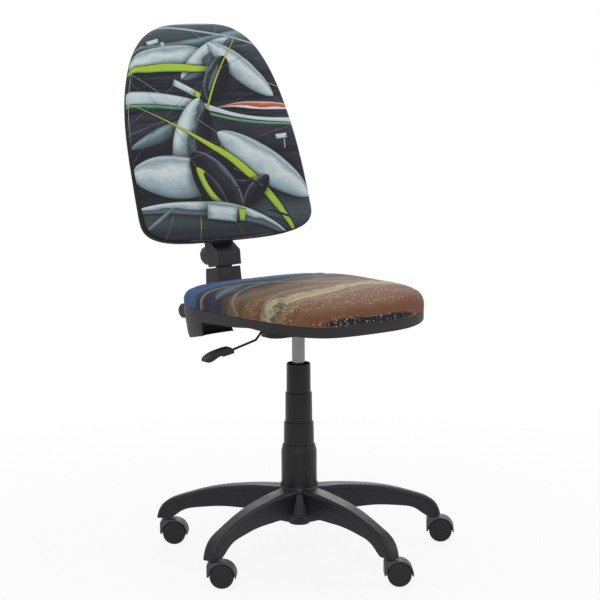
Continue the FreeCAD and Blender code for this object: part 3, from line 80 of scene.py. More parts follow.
class ChairBackSettings(bpy.types.PropertyGroup):
    half_width: length("Half width", "Half the width of the backrest pad", 0.226)
    proud: length("Proud", "How far the stuffed cloth stands out past the rim of the shell", 0.0042)
    height: length("Height", "Length of the backrest along its own slope", 0.500)
    foot_y: length("Foot Y", "Place of the pad's foot along Y", 0.245)
    foot_z: length("Foot Z", "Height of the pad's foot", 0.658)
    recline: FloatProperty(name="Recline", description="Backward lean of the backrest",
                           default=math.radians(17.3), subtype="ANGLE")
    edge_depth: length("Edge depth", "Depth of the cloth's rear edge behind the front edge plane", 0.022)
    swell: length("Swell", "Most that the simulated pad may swell", 0.0022)
    hem: length("Hem", "Width of cloth turned in behind the pad", 0.0085)


class ChairClothSettings(bpy.types.PropertyGroup):
    thickness: length("Cloth thickness", "Thickness of the printed cloth with its backing", 0.0012)
    thread: length("Thread pitch", "Distance between two threads of the weave", 0.00055)
    pressure: FloatProperty(name="Pressure", description="Cloth pressure that swells the pads", default=4.0)
    steps: IntProperty(name="Steps", description="Frames of cloth simulation", default=20, min=1, max=40)
    cells: IntProperty(name="Cells", description="Cells across a pad's mesh", default=84, min=20, max=160)


class ChairFinishSettings(bpy.types.PropertyGroup):
    nylon: shade("Base nylon", "Five-arm base", (0.014, 0.0135, 0.017))
    cover: shade("Column cover", "Telescopic cover sections", (0.010, 0.009, 0.011))
    castor: shade("Castor hood", "Castor hoods", (0.068, 0.066, 0.076))
    wheel: shade("Castor wheel", "Castor wheels", (0.014, 0.014, 0.015))
    shell: shade("Seat and back shell", "Plastic shells under the seat and behind the back", (0.020, 0.018, 0.021))
    handle: shade("Handles", "Lever grip, knobs, sleeve and bracket", (0.023, 0.023, 0.028))
    grain: length("Grain size", "Size of the moulded texture's cells", 0.0007)


class ChairStageSettings(bpy.types.PropertyGroup):
    distance: length("Camera distance", "Distance of the camera from the column along its line of sight", 4.5)
    height: length("Camera height", "Height of the camera above the floor", 1.264)
    aside: length("Camera offset", "Sideways offset of the camera from the column", 0.00408)
    yaw: FloatProperty(name="Yaw", description="Turn of the line of sight from +Y towards +X",
                       default=math.radians(36.0), subtype="ANGLE")
    pitch: FloatProperty(name="Pitch", description="Downward tilt of the camera",
                         default=math.radians(8.95), subtype="ANGLE")
    roll: FloatProperty(name="Roll", description="Roll of the camera", default=math.radians(-0.337),
                        subtype="ANGLE")
    lens: FloatProperty(name="Lens", description="Focal length on a 36 mm sensor, in millimetres", default=128.2)
    floor: length("Floor size", "Side of the square floor", 14.0)
    floor_colour: shade("Floor", "Floor paint", (0.86, 0.86, 0.86))


SETTINGS = {
    "chair_seat": ChairSeatSettings,
    "chair_back": ChairBackSettings,
    "chair_cloth": ChairClothSettings,
    "chair_finish": ChairFinishSettings,
    "chair_stage": ChairStageSettings,
}


# Shader building

class Sheet:
    """Short calls for placing and wiring the nodes of one tree."""

    def __init__(self, tree):
        self.tree = tree

    def feed(self, socket, value):
        if isinstance(value, bpy.types.NodeSocket):
            self.tree.links.new(value, socket)
        elif value is not None:
            if socket.type == "RGBA" and len(value) == 3:
                value = (*value, 1.0)
            socket.default_value = value

    def add(self, kind, inputs=None, **settings):
        node = self.tree.nodes.new(kind)
        for name, value in settings.items():
            setattr(node, name, value)
        for name, value in (inputs or {}).items():
            self.feed(node.inputs[name], value)
        return node

    def math(self, operation, a, b=None, c=None, clamp=False):
        node = self.add("ShaderNodeMath", {0: a, 1: b, 2: c}, operation=operation, use_clamp=clamp)
        return node.outputs[0]

    def vector(self, operation, a, b=None):
        node = self.add("ShaderNodeVectorMath", {0: a, 1: b}, operation=operation)
        return node.outputs["Value" if operation in ("LENGTH", "DOT_PRODUCT") else "Vector"]

    def mix(self, factor, a, b, blend="MIX"):
        node = self.add("ShaderNodeMix", {0: factor, 6: a, 7: b}, data_type="RGBA", blend_type=blend)
        return node.outputs[2]

    def fit(self, value, low, high, to_low=0.0, to_high=1.0, style="LINEAR"):
        node = self.add("ShaderNodeMapRange", {0: value, 1: low, 2: high, 3: to_low, 4: to_high},
                        interpolation_type=style)
        return node.outputs[0]

    def ramp(self, factor, stops):
        node = self.add("ShaderNodeValToRGB", {0: factor})
        elements = node.color_ramp.elements
        while len(elements) < len(stops):
            elements.new(1.0)
        for element, (place, colour) in zip(elements, sorted(stops, key=lambda stop: stop[0])):
            element.position = place
            element.color = (*colour, 1.0)
        return node.outputs[0]

    def curve(self, value, points):
        node = self.add("ShaderNodeFloatCurve", {"Value": value})
        line = node.mapping.curves[0]
        line.points[0].location = points[0]
        line.points[-1].location = points[-1]
        for point in points[1:-1]:
            line.points.new(*point)
        node.mapping.update()
        return node.outputs[0]

    def noise(self, vector, scale, detail=2.0, roughness=0.5, bend=0.0):
        node = self.add("ShaderNodeTexNoise", {"Vector": vector, "Scale": scale, "Detail": detail,
                                               "Roughness": roughness, "Distortion": bend})
        return node.outputs[0]

    def stretched(self, vector, scale, turn=0.0, place=(0.0, 0.0, 0.0)):
        node = self.add("ShaderNodeMapping", {"Vector": vector, "Scale": scale, "Rotation": (0.0, 0.0, turn),
                                              "Location": place})
        return node.outputs[0]

    def split(self, vector):
        return self.add("ShaderNodeSeparateXYZ", {0: vector}).outputs

    def group(self, tree, **inputs):
        node = self.add("ShaderNodeGroup", node_tree=tree)
        for name, value in inputs.items():
            self.feed(node.inputs[name.replace("_", " ").capitalize()], value)
        return node.outputs


def new_group(name, inputs, outputs):
    """Shader group with named sockets; returns its sheet, its incoming and its outgoing sockets."""
    tree = bpy.data.node_groups.new(name, "ShaderNodeTree")
    for label, kind, value in inputs:
        socket = tree.interface.new_socket(name=label, in_out="INPUT", socket_type=kind)
        if value is not None:
            socket.default_value = value
    for label, kind in outputs:
        tree.interface.new_socket(name=label, in_out="OUTPUT", socket_type=kind)
    sheet = Sheet(tree)
    start = sheet.add("NodeGroupInput").outputs
    end = sheet.add("NodeGroupOutput").inputs
    return sheet, start, end


VALUE, VECTOR = "NodeSocketFloat", "NodeSocketVector"
MAP_SIDE = 0.5


def moulded_grain():
    """Fine pebbled texture of moulded plastic."""
    s, start, end = new_group(
        "Moulded grain",
        [("Place", VECTOR, None), ("Cell", VALUE, 0.0007), ("Depth", VALUE, 0.5)],
        [("Height", VALUE), ("Tone", VALUE)])
    scale = s.math("DIVIDE", 1.0, start["Cell"])
    cells = s.add("ShaderNodeTexVoronoi", {"Vector": start["Place"], "Scale": scale}, feature="SMOOTH_F1")
    waves = s.noise(start["Place"], s.math("MULTIPLY", scale, 0.012), 3.0)
    height = s.math("MULTIPLY_ADD", cells.outputs["Distance"], start["Depth"], s.math("MULTIPLY", waves, 0.6))
    s.feed(end["Height"], height)
    s.feed(end["Tone"], waves)


def edge_wear():
    """Bright rubbed edges, found from the difference between a rounded and the true normal."""
    s, start, end = new_group(
        "Edge wear",
        [("Place", VECTOR, None), ("Rounded", VECTOR, None), ("Amount", VALUE, 1.0), ("Breakup", VALUE, 60.0)],
        [("Mask", VALUE)])
    normal = s.add("ShaderNodeNewGeometry").outputs["Normal"]
    agreement = s.vector("DOT_PRODUCT", start["Rounded"], normal)
    bend = s.fit(s.math("SUBTRACT", 1.0, agreement), 0.02, 0.16)
    broken = s.fit(s.noise(start["Place"], start["Breakup"], 4.0, 0.65), 0.36, 0.66)
    s.feed(end["Mask"], s.math("MULTIPLY", s.math("MULTIPLY", bend, broken), start["Amount"], clamp=True))


def settled_dust():
    """Faint dust on faces that look up."""
    s, start, end = new_group(
        "Settled dust",
        [("Place", VECTOR, None), ("Amount", VALUE, 0.2)],
        [("Mask", VALUE)])
    normal = s.split(s.add("ShaderNodeNewGeometry").outputs["Normal"])[2]
    patches = s.fit(s.noise(start["Place"], 35.0, 5.0, 0.6), 0.35, 0.75)
    up = s.fit(normal, 0.1, 1.0)
    s.feed(end["Mask"], s.math("MULTIPLY", s.math("MULTIPLY", patches, up), start["Amount"]))


def plain_weave():
    """Over-and-under threads in the cloth's own map, which is in units of half a metre."""
    s, start, end = new_group(
        "Plain weave",
        [("Map", VECTOR, None), ("Thread", VALUE, 0.00055)],
        [("Height", VALUE), ("Tone", VALUE)])
    turns = s.math("DIVIDE", math.pi * MAP_SIDE, start["Thread"])
    place = s.split(start["Map"])
    warp = s.math("SINE", s.math("MULTIPLY", place[0], turns))
    weft = s.math("SINE", s.math("MULTIPLY", place[1], turns))
    over = s.math("MULTIPLY", warp, weft)
    slub = s.noise(s.stretched(start["Map"], (40.0, 900.0, 1.0)), 1.0, 2.0)
    s.feed(end["Height"], s.math("MULTIPLY_ADD", over, 0.5, s.math("MULTIPLY", slub, 0.5)))
    # Tone is low where the threads dip under; the cloth uses it as painted shade in the weave's hollows, mixed with the
    # slub's random tone.
    s.feed(end["Tone"], s.math("MULTIPLY_ADD", over, 0.5, slub))


def print_band():
    """Turns a signed distance across a printed shape into its mask, its soft shadow and its shading place."""
    s, start, end = new_group(
        "Print band",
        [("Across", VALUE, 0.0), ("Edge", VALUE, 0.06), ("Spread", VALUE, 0.8), ("Ripple", VALUE, 0.5)],
        [("Mask", VALUE), ("Shadow", VALUE), ("Place", VALUE)])
    off = s.math("ABSOLUTE", start["Across"])
    inner = s.math("SUBTRACT", 1.0, start["Edge"])
    s.feed(end["Mask"], s.fit(off, inner, 1.0, 1.0, 0.0, "SMOOTHSTEP"))
    outer = s.math("ADD", 1.0, start["Spread"])
    s.feed(end["Shadow"], s.fit(off, 0.7, outer, 1.0, 0.0, "SMOOTHSTEP"))
    even = s.math("MULTIPLY_ADD", start["Across"], 0.5, 0.5)
    room = s.math("SUBTRACT", 1.0, s.math("MINIMUM", off, 1.0))
    sway = s.math("MULTIPLY", s.math("SUBTRACT", start["Ripple"], 0.5), room)
    s.feed(end["Place"], s.math("MULTIPLY_ADD", sway, 1.1, even))


# Printed designs, in the cloth's own map: u runs from the sitter's right to the left, v from the foot to the top

INK = {
    "night": (0.014, 0.011, 0.020),
    "slate": (0.034, 0.038, 0.050),
    "storm": (0.066, 0.086, 0.094),
    "steel": (0.150, 0.215, 0.245),
    "ice": (0.310, 0.430, 0.470),
    "frost": (0.560, 0.690, 0.710),
    "white": (0.760, 0.840, 0.850),
    "lime": (0.480, 0.660, 0.040),
    "leaf": (0.090, 0.340, 0.140),
    "red": (0.560, 0.060, 0.035),
    "orange": (0.720, 0.190, 0.050),
    "coal": (0.009, 0.008, 0.012),
    "binding": (0.010, 0.009, 0.011),
    "navy": (0.014, 0.022, 0.038),
    "blue": (0.022, 0.072, 0.195),
    "sky": (0.055, 0.135, 0.275),
    "rust": (0.190, 0.070, 0.032),
    "clay": (0.215, 0.115, 0.060),
    "tan": (0.290, 0.185, 0.105),
    "olive": (0.095, 0.075, 0.040),
    "cream": (0.520, 0.450, 0.260),
    "ash": (0.150, 0.150, 0.170),
    "plum": (0.110, 0.040, 0.070),
}

# shading across a printed shape, from one edge to the other
LOOKS = {
    "silver": [(0.0, "coal"), (0.03, "steel"), (0.16, "ice"), (0.42, "frost"), (0.66, "white"), (0.86, "ice"),
               (0.95, "frost"), (1.0, "night")],
    "silver_low": [(0.0, "coal"), (0.04, "storm"), (0.22, "steel"), (0.44, "storm"), (0.56, "ice"), (0.82, "white"),
                   (0.95, "frost"), (1.0, "steel")],
    "silver_dim": [(0.0, "night"), (0.15, "storm"), (0.5, "steel"), (0.8, "ice"), (1.0, "storm")],
    "lime": [(0.0, "coal"), (0.10, "coal"), (0.14, "leaf"), (0.3, "lime"), (0.9, "lime"), (0.94, "coal"),
             (1.0, "coal")],
    "leaf": [(0.0, "leaf"), (0.7, "leaf"), (1.0, "frost")],
    "leaf_dim": [(0.0, "night"), (0.3, "storm"), (0.6, "steel"), (1.0, "night")],
    "night": [(0.0, "coal"), (0.55, "night"), (0.86, "slate"), (0.95, "steel"), (1.0, "night")],
    "red": [(0.0, "white"), (0.25, "white"), (0.32, "red"), (0.75, "orange"), (1.0, "white")],
    "white": [(0.0, "steel"), (0.2, "frost"), (0.8, "white"), (1.0, "ice")],
    "line": [(0.0, "ice"), (1.0, "frost")],
    "path": [(0.0, "cream"), (0.14, "cream"), (0.2, "ash"), (0.8, "ash"), (0.86, "cream"), (1.0, "cream")],
    "dusk": [(0.0, "navy"), (0.5, "slate"), (1.0, "navy")],
    "sand": [(0.0, "tan"), (0.4, "cream"), (1.0, "tan")],
    "berry": [(0.0, "plum"), (0.5, "red"), (1.0, "plum")],
}

# ribbon: turn of the axis, centre line, half width along it, look, edge softness, shadow strength
# leaf or bar: turn, middle, half length and half width, look, edge softness, shadow strength
BACK_SHAPES = [
    ("ribbon", 6, [(0, 0.95), (0.5, 0.90), (1, 0.93)], [(0, 0.001), (0.45, 0.025), (1, 0.045)], "silver_dim", 0.1, 0.4),
    ("ribbon", -12, [(0, 0.90), (0.5, 0.955), (1, 0.91)], [(0, 0.006), (1, 0.004)], "line", 0.3, 0.2),
    ("leaf", 6, (0.30, 0.84), (0.22, 0.055), "silver", 0.06, 0.6),
    ("leaf", 32, (0.52, 0.83), (0.17, 0.055), "silver_low", 0.06, 0.7),
    ("ribbon", -20, [(0, 0.62), (0.3, 0.735), (0.6, 0.80), (1, 0.80)],
     [(0, 0.014), (0.2, 0.024), (0.45, 0.016), (0.7, 0.004), (1, 0.001)], "lime", 0.12, 0.6),
    ("leaf", -40, (0.70, 0.775), (0.20, 0.060), "silver", 0.06, 0.7),
    ("leaf", 58, (0.56, 0.735), (0.12, 0.060), "night", 0.06, 0.8),
    ("leaf", 58, (0.545, 0.74), (0.07, 0.018), "leaf_dim", 0.1, 0.2),
    ("bar", 12, (0.26, 0.915), (0.034, 0.010), "white", 0.1, 0.4),
    ("bar", 12, (0.31, 0.895), (0.010, 0.020), "line", 0.2, 0.2),
    ("bar", -28, (0.38, 0.70), (0.060, 0.016), "white", 0.1, 0.6),
    ("bar", -28, (0.445, 0.665), (0.018, 0.016), "lime", 0.1, 0.0),
    ("ribbon", -3, [(0, 0.645), (0.35, 0.63), (0.7, 0.56), (1, 0.555)],
     [(0, 0.030), (0.3, 0.026), (0.6, 0.010), (1, 0.014)], "white", 0.1, 0.8),
    ("ribbon", -3, [(0, 0.607), (0.35, 0.596), (0.7, 0.54), (1, 0.535)],
     [(0, 0.007), (0.5, 0.006), (1, 0.005)], "leaf", 0.2, 0.0),
    ("ribbon", 5, [(0, 0.53), (0.6, 0.60), (0.8, 0.575), (1, 0.545)],
     [(0, 0.0006), (0.55, 0.001), (0.75, 0.018), (1, 0.008)], "red", 0.08, 0.3),
    ("leaf", 18, (0.24, 0.50), (0.20, 0.035), "silver_dim", 0.1, 0.6),
    ("leaf", 64, (0.36, 0.46), (0.21, 0.085), "silver_low", 0.05, 0.9),
    ("ribbon", 64, [(0, 0.44), (0.3, 0.53), (0.6, 0.56), (1, 0.50)],
     [(0, 0.001), (0.3, 0.006), (0.6, 0.006), (1, 0.001)], "lime", 0.12, 0.4),
    ("leaf", 66, (0.435, 0.50), (0.11, 0.045), "night", 0.06, 0.5),
    ("leaf", -6, (0.25, 0.30), (0.23, 0.100), "silver", 0.05, 0.9),
    ("leaf", -58, (0.46, 0.245), (0.19, 0.100), "night", 0.05, 0.9),
    ("leaf", -58, (0.43, 0.235), (0.12, 0.042), "lime", 0.1, 0.3),
    ("leaf", -58, (0.445, 0.242), (0.085, 0.024), "night", 0.1, 0.0),
    ("leaf", 12, (0.58, 0.43), (0.070, 0.034), "red", 0.1, 0.8),
    ("leaf", -36, (0.73, 0.33), (0.27, 0.085), "silver", 0.05, 0.9),
    ("ribbon", -36, [(0, 0.35), (0.45, 0.42), (0.7, 0.42), (1, 0.33)],
     [(0, 0.001), (0.35, 0.006), (0.65, 0.022), (0.85, 0.024), (1, 0.016)], "lime", 0.12, 0.6),
    ("leaf", 40, (0.66, 0.215), (0.10, 0.040), "night", 0.06, 0.7),
    ("bar", -34, (0.63, 0.275), (0.090, 0.005), "night", 0.2, 0.2),
    ("bar", 24, (0.60, 0.250), (0.070, 0.004), "night", 0.2, 0.2),
    ("ribbon", -14, [(0, 0.02), (0.4, 0.12), (0.7, 0.14), (1, 0.05)],
     [(0, 0.001), (0.35, 0.03), (0.65, 0.034), (0.9, 0.012), (1, 0.001)], "silver_low", 0.06, 0.8),
    ("bar", -10, (0.46, 0.125), (0.080, 0.034), "white", 0.08, 0.8),
    ("bar", -10, (0.565, 0.108), (0.020, 0.034), "lime", 0.1, 0.0),
    ("bar", -22, (0.77, 0.100), (0.075, 0.006), "night", 0.2, 0.0),
    ("bar", -22, (0.75, 0.075), (0.060, 0.004), "night", 0.2, 0.0),
    ("bar", 4, (0.85, 0.455), (0.034, 0.012), "white", 0.1, 0.5),
    ("bar", 80, (0.86, 0.42), (0.024, 0.003), "line", 0.2, 0.0),
    ("leaf", 30, (0.13, 0.115), (0.09, 0.012), "silver_dim", 0.3, 0.0),
    ("ribbon", 34, [(0, 0.64), (0.5, 0.70), (1, 0.62)], [(0, 0.0014), (1, 0.0014)], "leaf_dim", 0.4, 0.0),
]

SEAT_SHAPES = [
    ("ribbon", 12, [(0, 0.75), (0.3, 0.74), (0.65, 0.69), (1, 0.72)],
     [(0, 0.05), (0.3, 0.045), (0.65, 0.05), (1, 0.04)], "dusk", 0.3, 0.3),
    ("ribbon", -18, [(0, 0.50), (0.3, 0.60), (0.6, 0.50), (1, 0.56)],
     [(0, 0.009), (0.5, 0.012), (1, 0.008)], "path", 0.15, 0.2),
    ("ribbon", 26, [(0, 0.60), (0.3, 0.68), (0.6, 0.62), (1, 0.50)],
     [(0, 0.007), (0.5, 0.006), (1, 0.007)], "path", 0.15, 0.2),
    ("ribbon", 8, [(0, 0.28), (0.35, 0.40), (0.6, 0.36), (1, 0.44)],
     [(0, 0.008), (0.5, 0.007), (1, 0.010)], "path", 0.15, 0.2),
    ("leaf", 14, (0.36, 0.255), (0.20, 0.030), "sand", 0.35, 0.0),
    ("leaf", -8, (0.74, 0.33), (0.18, 0.020), "sand", 0.4, 0.0),
    ("leaf", 24, (0.17, 0.60), (0.10, 0.06), "leaf_dim", 0.4, 0.2),
    ("ribbon", 2, [(0, 0.885), (0.3, 0.925), (0.6, 0.955), (1, 1.0)],
     [(0, 0.001), (0.2, 0.010), (0.55, 0.008), (0.8, 0.001), (1, 0.001)], "berry", 0.3, 0.0),
]


def placed_shape(s, place, shape):
    """Signed distance across one printed shape."""
    kind, turn, middle, width = shape[:4]
    angle = math.radians(turn)
    if kind == "ribbon":
        spun = s.add("ShaderNodeVectorRotate", {"Vector": place, "Center": (0.5, 0.5, 0.0), "Angle": -angle},
                     rotation_type="Z_AXIS").outputs[0]
        along, up = s.split(spun)[:2]
        centre = s.curve(along, middle)
        reach = s.curve(along, width)
        return s.math("DIVIDE", s.math("SUBTRACT", up, centre), s.math("MAXIMUM", reach, 0.0004))
    spun = s.add("ShaderNodeVectorRotate", {"Vector": place, "Center": (*middle, 0.0), "Angle": -angle},
                 rotation_type="Z_AXIS").outputs[0]
    along, up = s.split(s.vector("SUBTRACT", spun, (*middle, 0.0)))[:2]
    share = s.math("DIVIDE", along, width[0])
    if kind == "bar":
        side = s.math("DIVIDE", up, width[1])
        far = s.math("MAXIMUM", s.math("ABSOLUTE", share), s.math("ABSOLUTE", side))
        return s.math("MULTIPLY", far, s.math("SIGN", side))
    room = s.math("SUBTRACT", 1.0, s.math("MULTIPLY", share, share))
    reach = s.math("MULTIPLY", s.math("POWER", s.math("MAXIMUM", room, 0.0004), 0.62), width[1])
    return s.math("DIVIDE", up, reach)


def printed(s, place, ground, shapes):
    """Lays the shapes over the ground colour one after another."""
    band = bpy.data.node_groups["Print band"]
    colour = ground
    ripple = s.noise(s.stretched(place, (3.0, 5.0, 1.0), 0.4), 2.2, 3.0, 0.55)
    for shape in shapes:
        look, edge, shadow = shape[4:]
        across = placed_shape(s, place, shape)
        parts = s.group(band, across=across, edge=edge, ripple=ripple)
        if shadow:
            dark = s.math("MULTIPLY", parts["Shadow"], shadow)
            colour = s.mix(dark, colour, INK["coal"])
        fill = s.ramp(parts["Place"], [(at, INK[ink]) for at, ink in LOOKS[look]])
        colour = s.mix(parts["Mask"], colour, fill)
    return colour


def back_ground(s, place):
    """Dark ground with long soft streaks."""
    level = s.split(place)[1]
    sway = s.noise(s.stretched(place, (1.2, 3.0, 1.0)), 1.6, 2.0)
    level = s.math("ADD", level, s.math("MULTIPLY_ADD", sway, 0.24, -0.12))
    base = s.ramp(level, [(0.02, INK["slate"]), (0.10, INK["storm"]), (0.20, INK["night"]), (0.42, INK["night"]),
                          (0.52, INK["slate"]), (0.58, INK["night"]), (0.72, INK["night"]), (0.82, INK["slate"]),
                          (0.95, INK["storm"]), (1.0, INK["steel"])])
    streaks = s.noise(s.stretched(place, (1.5, 34.0, 1.0), math.radians(-6)), 1.0, 4.0, 0.6)
    return s.mix(s.fit(streaks, 0.45, 0.85, 0.0, 0.35), base, INK["steel"])


def seat_ground(s, place):
    """Warped layers from warm browns at the front to blue at the rear."""
    across, level = s.split(place)[:2]
    front = s.fit(level, 0.012, 0.026)
    swell = s.noise(s.stretched(place, (1.0, 1.3, 1.0), 0.35), 2.2, 3.0, 0.5, 0.6)
    fine = s.noise(s.stretched(place, (7.0, 14.0, 1.0), 0.12), 2.0, 6.0, 0.7)
    level = s.math("ADD", level, s.math("MULTIPLY_ADD", across, -0.17, 0.03))
    level = s.math("ADD", level, s.math("MULTIPLY_ADD", swell, 0.22, -0.11))
    level = s.math("ADD", level, s.math("MULTIPLY_ADD", fine, 0.20, -0.10))
    layers = s.ramp(level, [
        (0.0, INK["rust"]), (0.07, INK["clay"]), (0.13, INK["rust"]), (0.17, INK["tan"]), (0.21, INK["olive"]),
        (0.25, INK["cream"]), (0.29, INK["rust"]), (0.34, INK["clay"]), (0.40, INK["olive"]), (0.45, INK["clay"]),
        (0.50, INK["olive"]), (0.545, INK["navy"]), (0.60, INK["slate"]), (0.63, INK["navy"]), (0.665, INK["blue"]),
        (0.74, INK["sky"]), (0.83, INK["blue"]), (1.0, INK["sky"])])
    return s.mix(front, INK["coal"], layers)


def flecked(s, place, colour, low, high, scale, seed):
    """Scatter of small pale and dark flecks inside a band of the print."""
    level = s.split(place)[1]
    drift = s.math("ADD", level, s.math("MULTIPLY_ADD", s.noise(place, 3.0, 2.0), 0.12, -0.06))
    inside = s.math("MULTIPLY", s.fit(drift, low, low + 0.02), s.fit(drift, high, high + 0.02, 1.0, 0.0))
    cells = s.add("ShaderNodeTexVoronoi", {"Vector": s.stretched(place, (1.0, 1.7, 1.0), 0.2, (seed, seed, 0.0)),
                                           "Scale": scale})
    spot = s.fit(cells.outputs["Distance"], 0.22, 0.34, 1.0, 0.0)
    pick = s.split(cells.outputs["Color"])
    chosen = s.math("MULTIPLY", spot, s.math("GREATER_THAN", pick[0], 0.35))
    tint = s.ramp(pick[1], [(0.0, INK["white"]), (0.45, INK["cream"]), (0.6, INK["coal"]), (0.75, INK["ash"]),
                            (0.88, INK["red"]), (1.0, INK["white"])])
    return s.mix(s.math("MULTIPLY", chosen, inside), colour, tint)


def new_material(name, slot_colour=(0.5, 0.5, 0.5)):
    material = bpy.data.materials.new(name)
    material.use_nodes = True
    material.diffuse_color = (*slot_colour, 1.0)
    sheet = Sheet(material.node_tree)
    shader = material.node_tree.nodes["Principled BSDF"]
    return material, sheet, shader


def cloth_material(name, ground, shapes, flecks, bound=False):
    """Printed polyester: the design, a faint mottle, the weave with painted shade in its hollows, a soft sheen and, if
    bound, a black edge.
    """
    material, s, shader = new_material(name)
    place = s.add("ShaderNodeUVMap", uv_map="print").outputs[0]
    colour = printed(s, place, ground(s, place), shapes)
    for low, high, scale, seed in flecks:
        colour = flecked(s, place, colour, low, high, scale, seed)
    mottle = s.noise(place, 42.0, 5.0, 0.65)
    colour = s.mix(s.fit(mottle, 0.3, 0.75, 0.0, 0.12), colour, INK["slate"])
    if bound:
        edge = s.add("ShaderNodeAttribute", attribute_name="black_edge").outputs["Fac"]
        colour = s.mix(s.fit(edge, 0.0, BLACK_EDGE_FADE), colour, INK["binding"])
    weave = s.group(bpy.data.node_groups["Plain weave"], map=place,
                    thread=bpy.context.scene.chair_cloth.thread)
    # Darker toward coal where the threads dip under: painted shade in the weave's hollows, plus the slub's random tone.
    colour = s.mix(s.fit(weave["Tone"], 0.0, 1.3, 0.10, 0.0), colour, INK["coal"])
    s.feed(shader.inputs["Base Color"], colour)
    s.feed(shader.inputs["Roughness"], s.fit(weave["Tone"], 0.0, 1.5, 0.72, 0.60))
    bump = s.add("ShaderNodeBump", {"Height": weave["Height"], "Strength": 0.25, "Distance": 0.0002})
    folds = s.add("ShaderNodeBump", {"Height": s.noise(s.stretched(place, (3.0, 2.0, 1.0)), 2.0, 1.0),
                                     "Strength": 0.35, "Distance": 0.004, "Normal": bump.outputs[0]})
    s.feed(shader.inputs["Normal"], folds.outputs[0])
    shader.inputs["Sheen Weight"].default_value = 0.03
    shader.inputs["Specular IOR Level"].default_value = 0.2
    shader.inputs["Sheen Roughness"].default_value = 0.5
    return material


def plastic_material(name, colour, roughness, cell, wear=0.35, dust=0.10, round_edge=0.0006, spread=0.12):
    """Moulded plastic with a pebbled grain, worn edges and a little dust."""
    material, s, shader = new_material(name, colour)
    place = s.add("ShaderNodeTexCoord").outputs["Object"]
    rounded = s.add("ShaderNodeBevel", {"Radius": round_edge}, samples=4).outputs[0]
    grain = s.group(bpy.data.node_groups["Moulded grain"], place=place, cell=cell)
    worn = s.group(bpy.data.node_groups["Edge wear"], place=place, rounded=rounded, amount=wear)["Mask"]
    dusty = s.group(bpy.data.node_groups["Settled dust"], place=place, amount=dust)["Mask"]
    pale = [channel * 2.6 + 0.02 for channel in colour]
    deep = [channel * 0.72 for channel in colour]
    base = s.mix(grain["Tone"], deep, [channel * 1.28 for channel in colour])
    base = s.mix(worn, base, pale)
    base = s.mix(dusty, base, (0.15, 0.147, 0.142))
    s.feed(shader.inputs["Base Color"], base)
    rough = s.fit(grain["Tone"], 0.2, 0.8, roughness - spread * 0.5, roughness + spread * 0.5)
    s.feed(shader.inputs["Roughness"], s.math("ADD", rough, s.math("MULTIPLY", dusty, 0.5), clamp=True))
    shader.inputs["Specular IOR Level"].default_value = 0.28
    bump = s.add("ShaderNodeBump", {"Height": grain["Height"], "Strength": 0.16, "Distance": cell * 0.4,
                                    "Normal": rounded})
    s.feed(shader.inputs["Normal"], bump.outputs[0])
    return material


def metal_material(name, colour, roughness, brushed, metallic=1.0, coat=0.0, stain=(0.1, 0.09, 0.08)):
    """Metal or painted steel with drawn scratches and faint stains."""
    material, s, shader = new_material(name, colour)
    place = s.add("ShaderNodeTexCoord").outputs["Object"]
    rounded = s.add("ShaderNodeBevel", {"Radius": 0.0004}, samples=4).outputs[0]
    lines = s.noise(s.stretched(place, brushed), 1.0, 4.0, 0.6)
    patches = s.noise(place, 26.0, 4.0, 0.6)
    worn = s.group(bpy.data.node_groups["Edge wear"], place=place, rounded=rounded, amount=0.5)["Mask"]
    base = s.mix(s.fit(patches, 0.52, 0.8, 0.0, 0.35), colour, stain)
    base = s.mix(s.math("MULTIPLY", worn, 0.5), base, (0.55, 0.55, 0.56))
    s.feed(shader.inputs["Base Color"], base)
    s.feed(shader.inputs["Roughness"], s.fit(lines, 0.25, 0.75, roughness * 0.75, roughness * 1.3))
    shader.inputs["Metallic"].default_value = metallic
    shader.inputs["Coat Weight"].default_value = coat
    if not metallic:
        shader.inputs["Specular IOR Level"].default_value = 0.30
    bump = s.add("ShaderNodeBump", {"Height": lines, "Strength": 0.08, "Distance": 0.0002, "Normal": rounded})
    s.feed(shader.inputs["Normal"], bump.outputs[0])
    return material


def plywood_material():
    """Pressed veneer: pale layers seen on the edges, long grain on the faces."""
    material, s, shader = new_material("Plywood", INK["tan"])
    place = s.add("ShaderNodeTexCoord").outputs["Object"]
    height = s.split(place)[2]
    layers = s.math("SINE", s.math("MULTIPLY", height, 2 * math.pi / 0.0024))
    grain = s.noise(s.stretched(place, (60.0, 6.0, 60.0)), 1.0, 6.0, 0.6, 0.4)
    colour = s.ramp(grain, [(0.3, (0.36, 0.22, 0.11)), (0.55, (0.56, 0.39, 0.22)), (0.8, (0.68, 0.50, 0.30))])
    colour = s.mix(s.fit(layers, -1.0, 1.0, 0.0, 0.35), colour, (0.24, 0.14, 0.07))
    s.feed(shader.inputs["Base Color"], colour)
    s.feed(shader.inputs["Roughness"], s.fit(grain, 0.3, 0.8, 0.75, 0.6))
    bump = s.add("ShaderNodeBump", {"Height": grain, "Strength": 0.3, "Distance": 0.0003})
    s.feed(shader.inputs["Normal"], bump.outputs[0])
    return material


